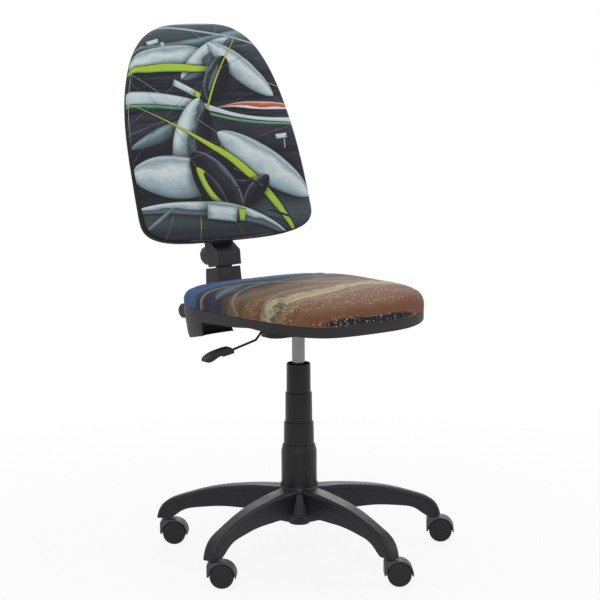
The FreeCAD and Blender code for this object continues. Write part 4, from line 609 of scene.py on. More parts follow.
def foam_material():
    """Open-cell cushion foam, with painted shade in its pores."""
    material, s, shader = new_material("Cushion foam", (0.75, 0.7, 0.55))
    place = s.add("ShaderNodeTexCoord").outputs["Object"]
    cells = s.add("ShaderNodeTexVoronoi", {"Vector": place, "Scale": 700.0})
    tone = s.noise(place, 30.0, 3.0)
    colour = s.mix(tone, (0.80, 0.76, 0.62), (0.72, 0.64, 0.44))
    # Pores darker than the foam between them: painted shade inside the open cells.
    colour = s.mix(s.fit(cells.outputs["Distance"], 0.2, 0.6, 0.4, 0.0), colour, (0.42, 0.38, 0.28))
    s.feed(shader.inputs["Base Color"], colour)
    s.feed(shader.inputs["Roughness"], s.fit(tone, 0.3, 0.7, 0.9, 0.98))
    bump = s.add("ShaderNodeBump", {"Height": cells.outputs["Distance"], "Strength": 0.5, "Distance": 0.0008})
    s.feed(shader.inputs["Normal"], bump.outputs[0])
    return material


MATERIALS = {}


def make_materials():
    finish = bpy.context.scene.chair_finish
    for build in (moulded_grain, edge_wear, settled_dust, plain_weave, print_band):
        build()
    cell = finish.grain
    made = {
        "satin_black_nylon": plastic_material("Base nylon", tuple(finish.nylon), 0.46, cell, 0.40, 0.14, 0.0010),
        "cover_plastic": plastic_material("Cover plastic", tuple(finish.cover), 0.40, cell * 0.8, 0.30, 0.05),
        "castor_plastic": plastic_material("Castor plastic", tuple(finish.castor), 0.50, cell, 0.50, 0.14),
        "wheel_plastic": plastic_material("Wheel plastic", tuple(finish.wheel), 0.55, cell, 0.35, 0.10),
        "shell_plastic": plastic_material("Shell plastic", tuple(finish.shell), 0.52, cell * 1.2, 0.25, 0.06),
        "handle_plastic": plastic_material("Handle plastic", tuple(finish.handle), 0.48, cell, 0.40, 0.06),
        "grey_acetal": plastic_material("Grey acetal", (0.30, 0.30, 0.30), 0.42, cell, 0.1, 0.0),
        "black_steel": metal_material("Painted steel", (0.010, 0.010, 0.013), 0.42, (500.0, 500.0, 500.0), 0.0,
                                      0.08, (0.020, 0.020, 0.022)),
        "bright_steel": metal_material("Zinc-plated steel", (0.52, 0.52, 0.53), 0.34, (260.0, 260.0, 260.0)),
        "chromed_rod": metal_material("Chromed rod", (0.20, 0.19, 0.20), 0.22, (900.0, 900.0, 3.0)),
        "black_rubber": plastic_material("Black rubber", (0.018, 0.018, 0.018), 0.78, cell * 1.4, 0.0, 0.2),
        "plywood": plywood_material(),
        "foam": foam_material(),
        "back_print": cloth_material("Backrest cloth", back_ground, BACK_SHAPES, [], bound=True),
        "seat_print": cloth_material("Seat cloth", seat_ground, SEAT_SHAPES,
                                     [(0.09, 0.24, 85.0, 3.1), (-0.03, 0.020, 95.0, 7.4), (0.27, 0.35, 120.0, 1.7)]),
    }
    MATERIALS.update(made)


# Mesh building

def linked(name, mesh):
    piece = bpy.data.objects.new(name, mesh)
    bpy.context.scene.collection.objects.link(piece)
    return piece


def mesh_piece(name, points, faces, material, smooth=True):
    mesh = bpy.data.meshes.new(name)
    mesh.from_pydata([tuple(p) for p in points], [], faces)
    mesh.materials.append(material)
    if smooth:
        mesh.shade_smooth()
    return linked(name, mesh)


def mesh_values(mesh, field):
    """Coordinates or normals of a mesh's points, one row a point."""
    values = np.zeros(len(mesh.vertices) * 3)
    mesh.vertices.foreach_get(field, values)
    return values.reshape(-1, 3)


def finished(piece):
    """Replaces the piece by a plain mesh of its evaluated form."""
    bpy.context.view_layer.update()
    graph = bpy.context.evaluated_depsgraph_get()
    mesh = bpy.data.meshes.new_from_object(piece.evaluated_get(graph), preserve_all_data_layers=True,
                                           depsgraph=graph)
    piece.modifiers.clear()
    old = piece.data
    piece.data = mesh
    bpy.data.meshes.remove(old)


def power_point(angle, half_width, low_depth, high_depth, low_power, high_power):
    """Point on a rounded-square outline whose low and high halves have their own depth and power."""
    c, s = math.cos(angle), math.sin(angle)
    power = low_power if s < 0 else high_power
    depth = low_depth if s < 0 else high_depth
    return (half_width * math.copysign(abs(c) ** (2 / power), c),
            depth * math.copysign(abs(s) ** (2 / power), s))


# rings of a pad: inset of the outline in millimetres, share of its size, height or depth in millimetres
SEAT_RINGS = [(3.0, 1.0, 0.0), (0.5, 1.0, 8.0), (0.5, 1.0, 16.0), (5.0, 1.0, 26.0), (14.0, 1.0, 32.5),
              (14.0, 0.84, 37.0), (14.0, 0.52, 41.5), (14.0, 0.05, 43.5)]
BACK_RINGS = [(3.0, 1.0, 22.0), (0.5, 1.0, 15.0), (0.3, 1.0, 8.0), (1.2, 1.0, 1.0), (11.0, 1.0, -3.5),
              (11.0, 0.84, -7.0), (11.0, 0.52, -9.5), (11.0, 0.05, -10.5)]
FIRST_INSET = 5.0
OUTLINE_POINTS = 40
COLUMNS_A_SPAN = 6
COLUMN_SAMPLES = 500
PAD_ROWS = 46
HEM_START = 0.0008
HEM_LIFT = 0.0003
SWELL_ROOM = 0.0011
FOAM_ROOM = 0.0006
FOAM_CELLS = 30
FOAM_HEM = 0.004


def outline_angles():
    return [2 * math.pi * (k + 0.5) / OUTLINE_POINTS for k in range(OUTLINE_POINTS)]


def around_weights(u):
    """Four blending weights of a uniform cubic curve at the share u of one span."""
    return np.array([(1 - u) ** 3, 3 * u ** 3 - 6 * u ** 2 + 4, -3 * u ** 3 + 3 * u ** 2 + 3 * u + 1, u ** 3]) / 6


def clamped_weights(levels, samples):
    """Cubic weights of every level for evenly spread samples along a form."""
    inner = levels - 4
    knots = [0.0] * 4 + [float(k) for k in range(1, inner + 1)] + [inner + 1.0] * 4
    rows = np.zeros((samples, levels))
    for row, x in enumerate(np.linspace(0, inner + 1 - 1e-9, samples)):
        basis = [1.0 if knots[k] <= x < knots[k + 1] else 0.0 for k in range(len(knots) - 1)]
        for degree in (1, 2, 3):
            for k in range(len(knots) - 1 - degree):
                left = knots[k + degree] - knots[k]
                right = knots[k + degree + 1] - knots[k + 1]
                value = (x - knots[k]) / left * basis[k] if left else 0.0
                value += (knots[k + degree + 1] - x) / right * basis[k + 1] if right else 0.0
                basis[k] = value
        rows[row] = basis[:levels]
    return rows


def skin_columns(rings):
    """Points of the smooth form over its rings, as (column, sample, xyz)."""
    poles = np.array(rings)
    along = np.einsum("sl,lkx->skx", clamped_weights(len(rings), COLUMN_SAMPLES), poles)
    columns = []
    for k in range(OUTLINE_POINTS):
        four = [along[:, (k + d) % OUTLINE_POINTS] for d in range(4)]
        for step in range(COLUMNS_A_SPAN):
            weights = around_weights(step / COLUMNS_A_SPAN)
            columns.append(sum(w * p for w, p in zip(weights, four)))
    return np.array(columns)


def pad_columns(rings, above, middle, hem_path):
    """Each column from the crown's middle out to the cloth's edge and round its hem, evenly spaced.

    above(points) is positive where a point belongs to the cloth. hem_path(edge) gives the turned-in hem."""
    found = []
    for column in skin_columns(rings):
        signs = above(column)
        first = int(np.argmax(signs > 0))
        share = signs[first - 1] / (signs[first - 1] - signs[first])
        edge = column[first - 1] + (column[first] - column[first - 1]) * share
        line = np.vstack([middle[None, :], column[first:][::-1], edge[None, :]])
        steps = np.linalg.norm(np.diff(line, axis=0), axis=1)
        run = np.concatenate([[0], np.cumsum(steps)])
        places = np.linspace(0, 1, PAD_ROWS + 1) * run[-1]
        even = np.stack([np.interp(places, run, line[:, axis]) for axis in range(3)], axis=1)
        found.append(np.vstack([even, hem_path(edge)]))
    return np.array(found)


def square_map(cells):
    """Grid of a square laid on the columns: share of the way out and angle for every grid point."""
    spread = np.linspace(-1, 1, cells + 1)
    a, b = np.meshgrid(spread, spread, indexing="ij")
    out = np.maximum(np.abs(a), np.abs(b))
    angle = np.zeros_like(out)
    for i in range(cells + 1):
        for j in range(cells + 1):
            x, y = a[i, j], b[i, j]
            if out[i, j] < 1e-9:
                continue
            if abs(x) >= abs(y):
                angle[i, j] = (0.0 if x > 0 else math.pi) + math.atan2(y / out[i, j], 1.0) * (1 if x > 0 else -1)
            else:
                angle[i, j] = math.copysign(math.pi / 2, y) - math.atan2(x / out[i, j], 1.0) * math.copysign(1, y)
    return out, angle % (2 * math.pi)


def pad_grid(columns, column_angles, cells):
    """Quad mesh of a pad: a square grid over the crown and sides, with the hem rows round it."""
    out, angle = square_map(cells)
    order = np.argsort(column_angles)
    angles = np.concatenate([column_angles[order] + turn for turn in (-2 * math.pi, 0.0, 2 * math.pi)])
    wide = np.concatenate([columns[order]] * 3)

    def on_row(theta, row):
        return np.array([np.interp(theta, angles, wide[:, row, axis]) for axis in range(3)])

    def at(theta, row):
        low_row = int(min(row, PAD_ROWS - 1e-9))
        low, high = on_row(theta, low_row), on_row(theta, low_row + 1)
        return low + (high - low) * (row - low_row)

    side = cells + 1
    points = [at(angle[i, j], out[i, j] * PAD_ROWS) for i in range(side) for j in range(side)]
    faces = [(i * side + j, (i + 1) * side + j, (i + 1) * side + j + 1, i * side + j + 1)
             for i in range(cells) for j in range(cells)]
    rim = [(i, 0) for i in range(cells)] + [(cells, j) for j in range(cells)]
    rim += [(i, cells) for i in range(cells, 0, -1)] + [(0, j) for j in range(cells, 0, -1)]
    last = [i * side + j for i, j in rim]
    for row in range(PAD_ROWS + 1, columns.shape[1]):
        ring = list(range(len(points), len(points) + len(rim)))
        points += [on_row(angle[i, j], row) for i, j in rim]
        faces += [(last[k - 1], ring[k - 1], ring[k], last[k]) for k in range(1, len(rim))]
        faces.append((last[-1], ring[-1], ring[0], last[0]))
        last = ring
    return np.array(points), faces, last


def pad(rings, above, middle, plane, ahead, hem_width, cells):
    """Points, faces and last ring of a pad that lies along the two axes of plane."""
    flat = np.array([float(axis in plane) for axis in range(3)])

    def hem_path(edge):
        inward = (middle - edge) * flat
        inward /= np.linalg.norm(inward)
        return np.array([edge + inward * HEM_START]
                        + [edge + inward * hem_width * share + ahead * HEM_LIFT for share in (0.5, 1.0)])

    columns = pad_columns(rings, above, middle, hem_path)
    rim = columns[:, PAD_ROWS] - middle
    angles = np.arctan2(rim[:, plane[1]], rim[:, plane[0]]) % (2 * math.pi)
    return pad_grid(columns, angles, cells)


def add_map(piece, flat_place):
    """Writes the cloth's own map from a function of the points; one unit is half a metre."""
    mesh = piece.data
    places = flat_place(mesh_values(mesh, "co"), mesh_values(mesh, "normal"))
    layer = mesh.uv_layers.new(name="print")
    corners = np.zeros(len(mesh.loops), int)
    mesh.loops.foreach_get("vertex_index", corners)
    layer.data.foreach_set("uv", places[corners].astype(np.float32).ravel())


def swell(piece, held, cap):
    """Blows the pad up with the cloth solver, keeps its hem still and caps how far a point moves."""
    cloth = bpy.context.scene.chair_cloth
    mesh = piece.data
    rest = mesh_values(mesh, "co")
    group = piece.vertex_groups.new(name="held")
    group.add(held, 1.0, "REPLACE")
    solver = piece.modifiers.new("Cloth", "CLOTH")
    for name, value in (("quality", 5), ("mass", 0.3), ("tension_stiffness", 20), ("compression_stiffness", 20),
                        ("bending_stiffness", 1.0), ("use_pressure", True),
                        ("uniform_pressure_force", cloth.pressure), ("vertex_group_mass", "held")):
        setattr(solver.settings, name, value)
    solver.settings.effector_weights.gravity = 0
    solver.point_cache.frame_start = 1
    solver.point_cache.frame_end = cloth.steps
    scene = bpy.context.scene
    for step in range(1, cloth.steps + 1):
        scene.frame_set(step)
    graph = bpy.context.evaluated_depsgraph_get()
    move = mesh_values(piece.evaluated_get(graph).data, "co") - rest
    piece.modifiers.remove(solver)
    piece.vertex_groups.remove(group)
    scene.frame_set(1)
    size = np.linalg.norm(move, axis=1, keepdims=True)
    eased = move * (cap / (cap + size))
    mesh.vertices.foreach_set("co", (rest + eased).ravel())
    mesh.update()


def subdivided(piece, levels):
    rounder = piece.modifiers.new("Round", "SUBSURF")
    rounder.levels = levels
    rounder.render_levels = levels
    rounder.boundary_smooth = "PRESERVE_CORNERS"


def thickened(piece, thickness):
    wall = piece.modifiers.new("Thickness", "SOLIDIFY")
    wall.thickness = thickness
    wall.offset = -1.0
    wall.use_even_offset = False


# Seat cushion

SEAT_POWERS = (3.45, 3.9)
SEAT_WIDENING = 0.038
SEAT_FOOT_Z = 0.500
FRONT_SWELL_END_Y = 0.120
FRONT_SWELL_RUN = 0.210
SEAT_SIDE_HEIGHT = 0.026
SEAT_MAP_FRONT = 0.283


def seat_outline(settings, inset, share):
    points = []
    for angle in outline_angles():
        u, v = power_point(angle, settings.half_width - inset, settings.front_depth - inset,
                           settings.rear_depth - inset, *SEAT_POWERS)
        u *= 1 + SEAT_WIDENING * v / settings.rear_depth
        points.append((u * share, settings.centre_y + v * share))
    return points


def seat_drop(settings, y):
    """Drop of the rolled front edge."""
    run = np.maximum(0, settings.roll_start_y - y)
    return settings.roll_radius - np.sqrt(settings.roll_radius ** 2 - run ** 2)


def seat_rings(settings, shrink):
    def front_swell(y):
        return 1 + settings.front_swell * min(1, max(0, (FRONT_SWELL_END_Y - y) / FRONT_SWELL_RUN))

    rings = [[(x, y, SEAT_FOOT_Z) for x, y in seat_outline(settings, FIRST_INSET * MM + shrink, 1)]]
    for inset, share, rise in SEAT_RINGS[:-1]:
        lower = shrink if rise > 0 else 0
        rings.append([(x, y, settings.edge_z + (rise * MM - lower) * front_swell(y) - seat_drop(settings, y))
                      for x, y in seat_outline(settings, inset * MM + shrink, share)])
    inset, share, rise = SEAT_RINGS[-1]
    crown = settings.edge_z + (rise * MM - shrink) * front_swell(settings.centre_y)
    rings.append([(x, y, crown) for x, y in seat_outline(settings, inset * MM + shrink, share)])
    return rings, crown


def seat_pad(shrink, cells, hem_width):
    settings = bpy.context.scene.chair_seat
    rings, crown = seat_rings(settings, shrink)

    def above(points):
        return points[:, 2] - (settings.edge_z - seat_drop(settings, points[:, 1]))

    return pad(rings, above, np.array([0.0, settings.centre_y, crown]), (0, 1), np.array([0.0, 0.0, 1.0]),
               hem_width, cells)


def seat_flat_place(points, normals):
    """Seat map: the crown as seen from above, with the sides folded out."""
    settings = bpy.context.scene.chair_seat
    fall = np.maximum(0, settings.edge_z + SEAT_SIDE_HEIGHT - points[:, 2])
    spread = points[:, :2] + normals[:, :2] * fall[:, None]
    return np.stack([spread[:, 0] / MAP_SIDE + 0.5, (spread[:, 1] + SEAT_MAP_FRONT) / MAP_SIDE], axis=1)


def outward(points, faces, centre):
    """Flips the faces if they look at the centre on the whole."""
    total = 0.0
    for face in faces[::7]:
        a, b, c = points[face[0]], points[face[1]], points[face[2]]
        total += float(np.dot(np.cross(b - a, c - a), a - centre))
    return faces if total > 0 else [tuple(reversed(face)) for face in faces]


def dress_pad(name, material_name, grid, centre, flat_place, held_from, cap, body, nodes, black_edge=None):
    """Cloth cover from a pad grid: swollen, mapped, rounded and given its thickness."""
    points, faces = grid[:2]
    faces = outward(points, faces, centre)
    piece = mesh_piece(name, points, faces, MATERIALS[material_name])
    add_map(piece, flat_place)
    if black_edge:
        layer = piece.data.attributes.new("black_edge", "FLOAT", "POINT")
        layer.data.foreach_set("value", black_edge(points).astype(np.float32))
    swell(piece, list(range(held_from, len(points))), cap)
    thickened(piece, bpy.context.scene.chair_cloth.thickness)
    subdivided(piece, 1)
    finished(piece)
    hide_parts(*nodes)
    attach(piece, body)


def closed_pad(name, grid, centre, floor_point, body, nodes):
    """Foam block: the pad grid closed across its flat side."""
    points, faces, last = grid
    hub = len(points)
    faces = outward(points, faces, centre)
    faces += [(last[k - 1], last[k], hub) for k in range(len(last))]
    piece = mesh_piece(name, [*points, floor_point], faces, MATERIALS["foam"])
    work = bmesh.new()
    work.from_mesh(piece.data)
    bmesh.ops.recalc_face_normals(work, faces=work.faces)
    work.to_mesh(piece.data)
    work.free()
    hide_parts(*nodes)
    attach(piece, body)


# Back cushion

BACK_POWERS = (3.8, 3.6)
BACK_WIDEST_T = 0.080
BACK_MIDDLE_SHARE = 0.48
BACK_TAPER = 0.20
BACK_FOOT_DEPTH = 0.070
BACK_HOLLOW_START_T = 0.122
BACK_HOLLOW = 0.006
BACK_WRAP = 0.012
BACK_SIDE_DEPTH = 0.001
BLACK_EDGE_FOOT = 0.001
BLACK_EDGE_NARROWING = 0.019
BLACK_EDGE_FADE = 0.0006


def back_frame_axes(settings):
    """Origin and unit axes of the backrest's own frame: across, depth, up."""
    c, s = math.cos(settings.recline), math.sin(settings.recline)
    origin = np.array([0.0, settings.foot_y, settings.foot_z])
    return origin, np.array([1.0, 0.0, 0.0]), np.array([0.0, c, -s]), np.array([0.0, s, c])


def back_to_world(settings, local):
    origin, across, depth, up = back_frame_axes(settings)
    return origin + np.outer(local[:, 0], across) + np.outer(local[:, 1], depth) + np.outer(local[:, 2], up)


def back_from_world(settings, points):
    origin, across, depth, up = back_frame_axes(settings)
    away = points - origin
    return np.stack([away @ across, away @ depth, away @ up], axis=1)


def back_outline(settings, inset, share):
    half_width = settings.half_width + settings.proud - inset
    height = settings.height + settings.proud - BACK_WIDEST_T - inset
    centre = settings.height * BACK_MIDDLE_SHARE
    points = []
    for angle in outline_angles():
        u, v = power_point(angle, half_width, BACK_WIDEST_T - inset, height, *BACK_POWERS)
        taper = BACK_TAPER * (max(0, v) / settings.height) ** 2
        points.append((u * (1 - taper) * share, centre + (BACK_WIDEST_T + v - centre) * share))
    return points


def back_bend(settings, x, t):
    """Change of depth: the sides come forward, the middle height sits back."""
    share = np.clip((t - BACK_HOLLOW_START_T) / (settings.height - BACK_HOLLOW_START_T), 0, 1)
    return BACK_HOLLOW * np.sin(math.pi * share) ** 2 - BACK_WRAP * (x / settings.half_width) ** 2


def back_rings(settings, shrink):
    rings = [[(x, BACK_FOOT_DEPTH, t) for x, t in back_outline(settings, FIRST_INSET * MM + shrink, 1)]]
    for inset, share, depth in BACK_RINGS[:-1]:
        rings.append([(x, depth * MM + shrink + back_bend(settings, x, t), t)
                      for x, t in back_outline(settings, inset * MM + shrink, share)])
    inset, share, depth = BACK_RINGS[-1]
    crown = depth * MM + shrink + float(back_bend(settings, 0.0, settings.height * BACK_MIDDLE_SHARE))
    rings.append([(x, crown, t) for x, t in back_outline(settings, inset * MM + shrink, share)])
    return rings, crown


def back_pad(shrink, cells, hem_width):
    settings = bpy.context.scene.chair_back
    rings, crown = back_rings(settings, shrink)
    rear = settings.edge_depth - (shrink - SWELL_ROOM)

    def above(points):
        return rear + back_bend(settings, points[:, 0], points[:, 2]) - points[:, 1]

    middle = np.array([0.0, crown, settings.height * BACK_MIDDLE_SHARE])
    points, faces, last = pad(rings, above, middle, (0, 2), np.array([0.0, -1.0, 0.0]), hem_width, cells)
    return back_to_world(settings, points), faces, last


def back_depth(settings, local):
    """Depth behind the bent front edge."""
    return local[:, 1] - back_bend(settings, local[:, 0], local[:, 2])


def back_flat_place(points, normals):
    """Backrest map: the front seen square on, with the sides folded out."""
    settings = bpy.context.scene.chair_back
    local = back_from_world(settings, points)
    across, up = back_frame_axes(settings)[1::2]
    aside = np.stack([normals @ across, normals @ up], axis=1)
    fall = np.maximum(0, back_depth(settings, local) - BACK_SIDE_DEPTH)
    spread = local[:, [0, 2]] + aside * fall[:, None]
    return np.stack([spread[:, 0] / MAP_SIDE + 0.5, spread[:, 1] / MAP_SIDE], axis=1)


def back_black_edge(points):
    """How far a point lies past the start of the black edge; the edge is wide at the foot, thin at the top."""
    settings = bpy.context.scene.chair_back
    local = back_from_world(settings, points)
    rise = np.clip(local[:, 2] / settings.height, 0, 1)
    return back_depth(settings, local) - (BLACK_EDGE_FOOT + BLACK_EDGE_NARROWING * rise)


# Screws made with geometry nodes

SCREW_SIDES = 36


def screw_pattern(name, head, shank, material):
    """Pan-head screw with a hexagonal recess: seat at the origin, head along +Z, shank along -Z.

    head is its radius, height and recess radius; shank is its radius and length."""
    radius, height, recess = head
    work = bmesh.new()
    turns = [2 * math.pi * k / SCREW_SIDES for k in range(SCREW_SIDES)]
    wide = [radius] * SCREW_SIDES
    hexagon = [recess / math.cos(turn % (math.pi / 3) - math.pi / 6) for turn in turns]
    profile = [(shank[0] * 0.8, -shank[1]), (shank[0], -shank[1] * 0.94), (shank[0], 0.0), (radius * 0.97, 0.0),
               (radius, height * 0.06), (radius, height * 0.55), (radius * 0.94, height * 0.80),
               (radius * 0.82, height * 0.95), (radius * 0.62, height)]
    rings = [[(r / radius * w, z) for w in wide] for r, z in profile]
    rings += [[(w, z) for w in hexagon] for z in (height, height * 0.5)]
    loops = [[work.verts.new((r * math.cos(turn), r * math.sin(turn), z)) for (r, z), turn in zip(ring, turns)]
             for ring in rings]
    for low, high in zip(loops, loops[1:]):
        for k in range(SCREW_SIDES):
            work.faces.new((low[k - 1], low[k], high[k], high[k - 1]))
    work.faces.new(loops[0])
    work.faces.new(loops[-1])
    bmesh.ops.recalc_face_normals(work, faces=work.faces)
    mesh = bpy.data.meshes.new(name)
    work.to_mesh(mesh)
    work.free()
    mesh.materials.append(material)
    return linked(name, mesh)


def scatter_tree():
    """Geometry nodes: one screw on every point, turned to the axis, each spun by its own angle."""
    tree = bpy.data.node_groups.new("Screws on points", "GeometryNodeTree")
    sockets = {}
    tree.interface.new_socket(name="Geometry", in_out="INPUT", socket_type="NodeSocketGeometry")
    for label, kind in (("Screw", "NodeSocketObject"), ("Axis", "NodeSocketVector"), ("Scale", "NodeSocketFloat"),
                        ("Seed", "NodeSocketInt"), ("Finish", "NodeSocketMaterial")):
        sockets[label] = tree.interface.new_socket(name=label, in_out="INPUT", socket_type=kind).identifier
    tree.interface.new_socket(name="Geometry", in_out="OUTPUT", socket_type="NodeSocketGeometry")
    s = Sheet(tree)
    start = s.add("NodeGroupInput").outputs
    screw = s.add("GeometryNodeObjectInfo", {"Object": start["Screw"]})
    aim = s.add("FunctionNodeAlignRotationToVector", {"Vector": start["Axis"]}, axis="Z")
    spin = s.add("FunctionNodeRandomValue", data_type="FLOAT")
    s.feed(spin.inputs[2], 0.0)
    s.feed(spin.inputs[3], 2 * math.pi)
    s.feed(spin.inputs["Seed"], start["Seed"])
    twist = s.add("FunctionNodeAxisAngleToRotation", {"Axis": (0.0, 0.0, 1.0), "Angle": spin.outputs[1]})
    both = s.add("FunctionNodeRotateRotation", {0: aim.outputs[0], 1: twist.outputs[0]}, rotation_space="LOCAL")
    points = s.add("GeometryNodeMeshToPoints", {"Mesh": start["Geometry"]})
    placed = s.add("GeometryNodeInstanceOnPoints", {"Points": points.outputs[0],
                                                    "Instance": screw.outputs["Geometry"],
                                                    "Rotation": both.outputs[0], "Scale": start["Scale"]})
    real = s.add("GeometryNodeRealizeInstances", {0: placed.outputs[0]})
    paint = s.add("GeometryNodeSetMaterial", {"Geometry": real.outputs[0], "Material": start["Finish"]})
    s.feed(s.add("NodeGroupOutput").inputs[0], paint.outputs[0])
    return tree, sockets


def scattered(name, places, axis, head, shank, slot, body, node, seed):
    """Screws of one kind as one plain mesh."""
    tree, sockets = scatter_tree()
    material = MATERIALS[slot]
    source = screw_pattern(name + "_pattern", head, shank, material)
    mesh = bpy.data.meshes.new(name)
    mesh.from_pydata(places, [], [])
    carrier = linked(name, mesh)
    modifier = carrier.modifiers.new("Screws", "NODES")
    modifier.node_group = tree
    for label, value in (("Screw", source), ("Axis", axis), ("Scale", 1.0), ("Seed", seed), ("Finish", material)):
        modifier[sockets[label]] = value
    finished(carrier)
    bpy.data.objects.remove(source)
    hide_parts(node)
    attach(carrier, body)


# Operators

# name, place, aim, diameter, power
LAMPS = [
    ("Key", (-2.6, -2.6, 3.4), (0.0, 0.0, 0.5), 2.4, 62.0),
    ("Fill", (3.2, -2.2, 2.2), (0.0, 0.0, 0.5), 2.6, 36.0),
    ("Top", (0.0, 0.6, 3.8), (0.0, 0.0, 0.4), 3.0, 34.0),
    ("Rim", (2.4, 2.8, 2.2), (0.0, 0.0, 0.6), 1.6, 26.0),
]
WHITE = (1.0, 1.0, 1.0, 1.0)


def seen_directly(s):
    """1 for rays from the camera, off glossy faces and through clear ones."""
    rays = s.add("ShaderNodeLightPath").outputs
    return s.math("MAXIMUM", rays["Is Camera Ray"],
                  s.math("MAXIMUM", rays["Is Glossy Ray"], rays["Is Transmission Ray"]))


class CHAIR_OT_stage(bpy.types.Operator):
    """Place the floor, the lamps, the world and the camera"""
    bl_idname = "chair.stage"
    bl_label = "Stage"

    def execute(self, context):
        stage = context.scene.chair_stage
        half = stage.floor / 2
        material, s, shader = new_material("Studio floor", tuple(stage.floor_colour))
        shader.inputs["Base Color"].default_value = (*stage.floor_colour, 1.0)
        shader.inputs["Roughness"].default_value = 0.9
        white = s.add("ShaderNodeEmission", {"Color": WHITE, "Strength": 1.0})
        away = s.vector("LENGTH", s.add("ShaderNodeTexCoord").outputs["Object"])
        share = s.fit(away, 0.45, 1.7, 0.88, 1.0, "SMOOTHSTEP")
        blend = s.add("ShaderNodeMixShader", {0: s.math("MULTIPLY", seen_directly(s), share),
                                              1: shader.outputs[0], 2: white.outputs[0]})
        s.feed(material.node_tree.nodes["Material Output"].inputs[0], blend.outputs[0])
        floor = mesh_piece("studio_floor", [(-half, -half, 0), (half, -half, 0), (half, half, 0), (-half, half, 0)],
                           [(0, 1, 2, 3)], material, False)
        self.world(context)
        for lamp in LAMPS:
            self.lamp(*lamp)
        self.camera(context, stage)
        return {"FINISHED"}

    def world(self, context):
        world = bpy.data.worlds.new("Studio")
        context.scene.world = world
        world.use_nodes = True
        s = Sheet(world.node_tree)
        soft = s.add("ShaderNodeBackground", {"Color": (0.96, 0.98, 1.0, 1.0), "Strength": 0.34})
        white = s.add("ShaderNodeBackground", {"Color": WHITE, "Strength": 1.0})
        blend = s.add("ShaderNodeMixShader", {0: seen_directly(s), 1: soft.outputs[0], 2: white.outputs[0]})
        s.feed(world.node_tree.nodes["World Output"].inputs[0], blend.outputs[0])

    def lamp(self, name, place, aim, size, power):
        light = bpy.data.lights.new(name, "AREA")
        light.shape = "DISK"
        light.size = size
        light.energy = power
        lamp = linked(name, light)
        lamp.location = place
        lamp.rotation_euler = (Vector(aim) - Vector(place)).to_track_quat("-Z", "Y").to_euler()

    def camera(self, context, stage):
        data = bpy.data.cameras.new("Camera")
        data.lens = stage.lens
        data.sensor_width = 36.0
        camera = linked("Camera", data)
        along = Vector((math.sin(stage.yaw), math.cos(stage.yaw), 0.0))
        right = Vector((math.cos(stage.yaw), -math.sin(stage.yaw), 0.0))
        camera.location = right * stage.aside - along * stage.distance + Vector((0.0, 0.0, stage.height))
        sight = along * math.cos(stage.pitch) - Vector((0.0, 0.0, math.sin(stage.pitch)))
        turn = sight.to_track_quat("-Z", "Y").to_matrix().to_4x4() @ Matrix.Rotation(stage.roll, 4, "Z")
        camera.rotation_euler = turn.to_euler()
        context.scene.camera = camera
        context.scene.view_settings.view_transform = "Standard"


class CHAIR_OT_finishes(bpy.types.Operator):
    """Build the materials and give every rigid piece its finish"""
    bl_idname = "chair.finishes"
    bl_label = "Finishes"

    def execute(self, context):
        make_materials()
        for name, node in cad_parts.items():
            for slot in node.material_slots:
                slot.material = MATERIALS[slot.material.name]
        return {"FINISHED"}


class CHAIR_OT_seat_cushion(bpy.types.Operator):
    """Make the seat's cloth cover and its foam"""
    bl_idname = "chair.seat_cushion"
    bl_label = "Seat cushion"

    def execute(self, context):
        seat = context.scene.chair_seat
        cloth = context.scene.chair_cloth
        grid = seat_pad(SWELL_ROOM, cloth.cells, seat.hem)
        centre = np.array([0.0, seat.centre_y, seat.edge_z - 0.02])
        dress_pad("seat_cover", "seat_print", grid, centre, seat_flat_place, (cloth.cells + 1) ** 2, seat.swell,
                  "carriage", ["seat_fabric"])
        grid = seat_pad(SWELL_ROOM + cloth.thickness + FOAM_ROOM, FOAM_CELLS, FOAM_HEM)
        floor_point = np.array([0.0, seat.centre_y, seat.board_top_z + 0.0004])
        closed_pad("seat_foam_block", grid, centre, floor_point, "carriage", ["seat_foam"])
        return {"FINISHED"}


class CHAIR_OT_back_cushion(bpy.types.Operator):
    """Make the backrest's cloth cover and its foam"""
    bl_idname = "chair.back_cushion"
    bl_label = "Back cushion"

    def execute(self, context):
        back = context.scene.chair_back
        cloth = context.scene.chair_cloth
        middle_t = back.height * BACK_MIDDLE_SHARE
        centre, floor_point = back_to_world(back, np.array([[0.0, 0.030, middle_t], [0.0, 0.0194, middle_t]]))
        grid = back_pad(SWELL_ROOM, cloth.cells, back.hem)
        dress_pad("back_cover", "back_print", grid, centre, back_flat_place, (cloth.cells + 1) ** 2, back.swell,
                  "backrest", ["back_fabric"], black_edge=back_black_edge)
        grid = back_pad(SWELL_ROOM + cloth.thickness + FOAM_ROOM, FOAM_CELLS, FOAM_HEM)
        closed_pad("back_foam_block", grid, centre, floor_point, "backrest", ["back_foam"])
        return {"FINISHED"}


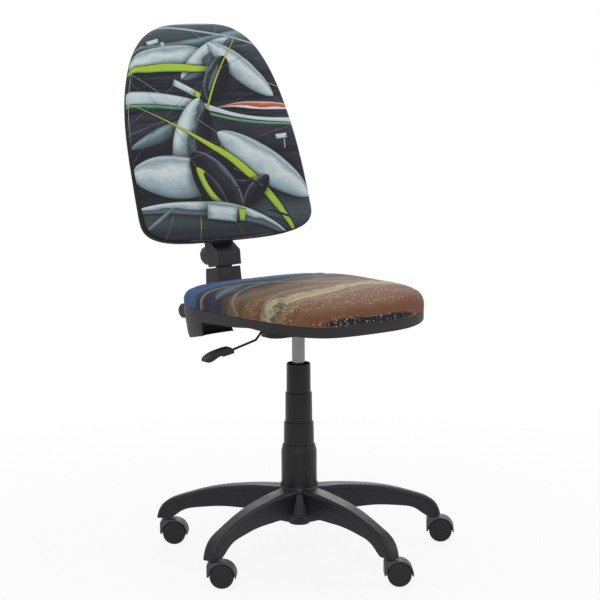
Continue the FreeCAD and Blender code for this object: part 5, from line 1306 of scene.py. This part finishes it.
class CHAIR_OT_screws(bpy.types.Operator):
    """Make the visible screws with their recessed heads"""
    bl_idname = "chair.screws"
    bl_label = "Screws"

    def execute(self, context):
        down = (0.0, 0.0, -1.0)
        shell = [(-0.150, -0.120, 0.532), (0.150, -0.120, 0.532), (-0.160, 0.140, 0.532), (0.160, 0.140, 0.532)]
        scattered("shell_screw_set", shell, down, (0.0040, 0.0022, 0.0014), (0.0019, 0.0120), "bright_steel",
                  "carriage", "shell_screws", 3)
        flange = [(side * 0.072, y, 0.533) for side in (-1, 1) for y in (-0.058, 0.088)]
        scattered("seat_bolt_set", flange, down, (0.0065, 0.0050, 0.0026), (0.00295, 0.0138), "bright_steel",
                  "carriage", "seat_bolts", 5)
        back = context.scene.chair_back
        plate = np.array([(side * 0.044, 0.0464, t) for side in (-1, 1) for t in (0.034, 0.100)])
        outward_axis = tuple(float(part) for part in back_frame_axes(back)[2])
        scattered("back_screw_set", [tuple(point) for point in back_to_world(back, plate)], outward_axis,
                  (0.0060, 0.0035, 0.0026), (0.00285, 0.0224), "bright_steel", "backrest", "back_screws", 8)
        return {"FINISHED"}


CLASSES = [*SETTINGS.values(), CHAIR_OT_stage, CHAIR_OT_finishes, CHAIR_OT_seat_cushion, CHAIR_OT_back_cushion,
           CHAIR_OT_screws]
STEPS = ["stage", "finishes", "seat_cushion", "back_cushion", "screws"]


class CHAIR_PT_sidebar(bpy.types.Panel):
    """Lists the steps that dress the chair"""
    bl_idname = "CHAIR_PT_sidebar"
    bl_label = "Chair"
    bl_space_type = "VIEW_3D"
    bl_region_type = "UI"
    bl_category = "Chair"

    def draw(self, context):
        for step in STEPS:
            self.layout.operator("chair." + step)
        for group in SETTINGS:
            box = self.layout.box()
            settings = getattr(context.scene, group)
            for name in settings.__annotations__:
                box.prop(settings, name)


def register():
    for made in (*CLASSES, CHAIR_PT_sidebar):
        bpy.utils.register_class(made)
    for name, kind in SETTINGS.items():
        setattr(bpy.types.Scene, name, PointerProperty(type=kind))


def unregister():
    for name in SETTINGS:
        delattr(bpy.types.Scene, name)
    for made in reversed((*CLASSES, CHAIR_PT_sidebar)):
        bpy.utils.unregister_class(made)


def main():
    register()
    for step in STEPS:
        getattr(bpy.ops.chair, step)()


if __name__ == "__main__":
    main()
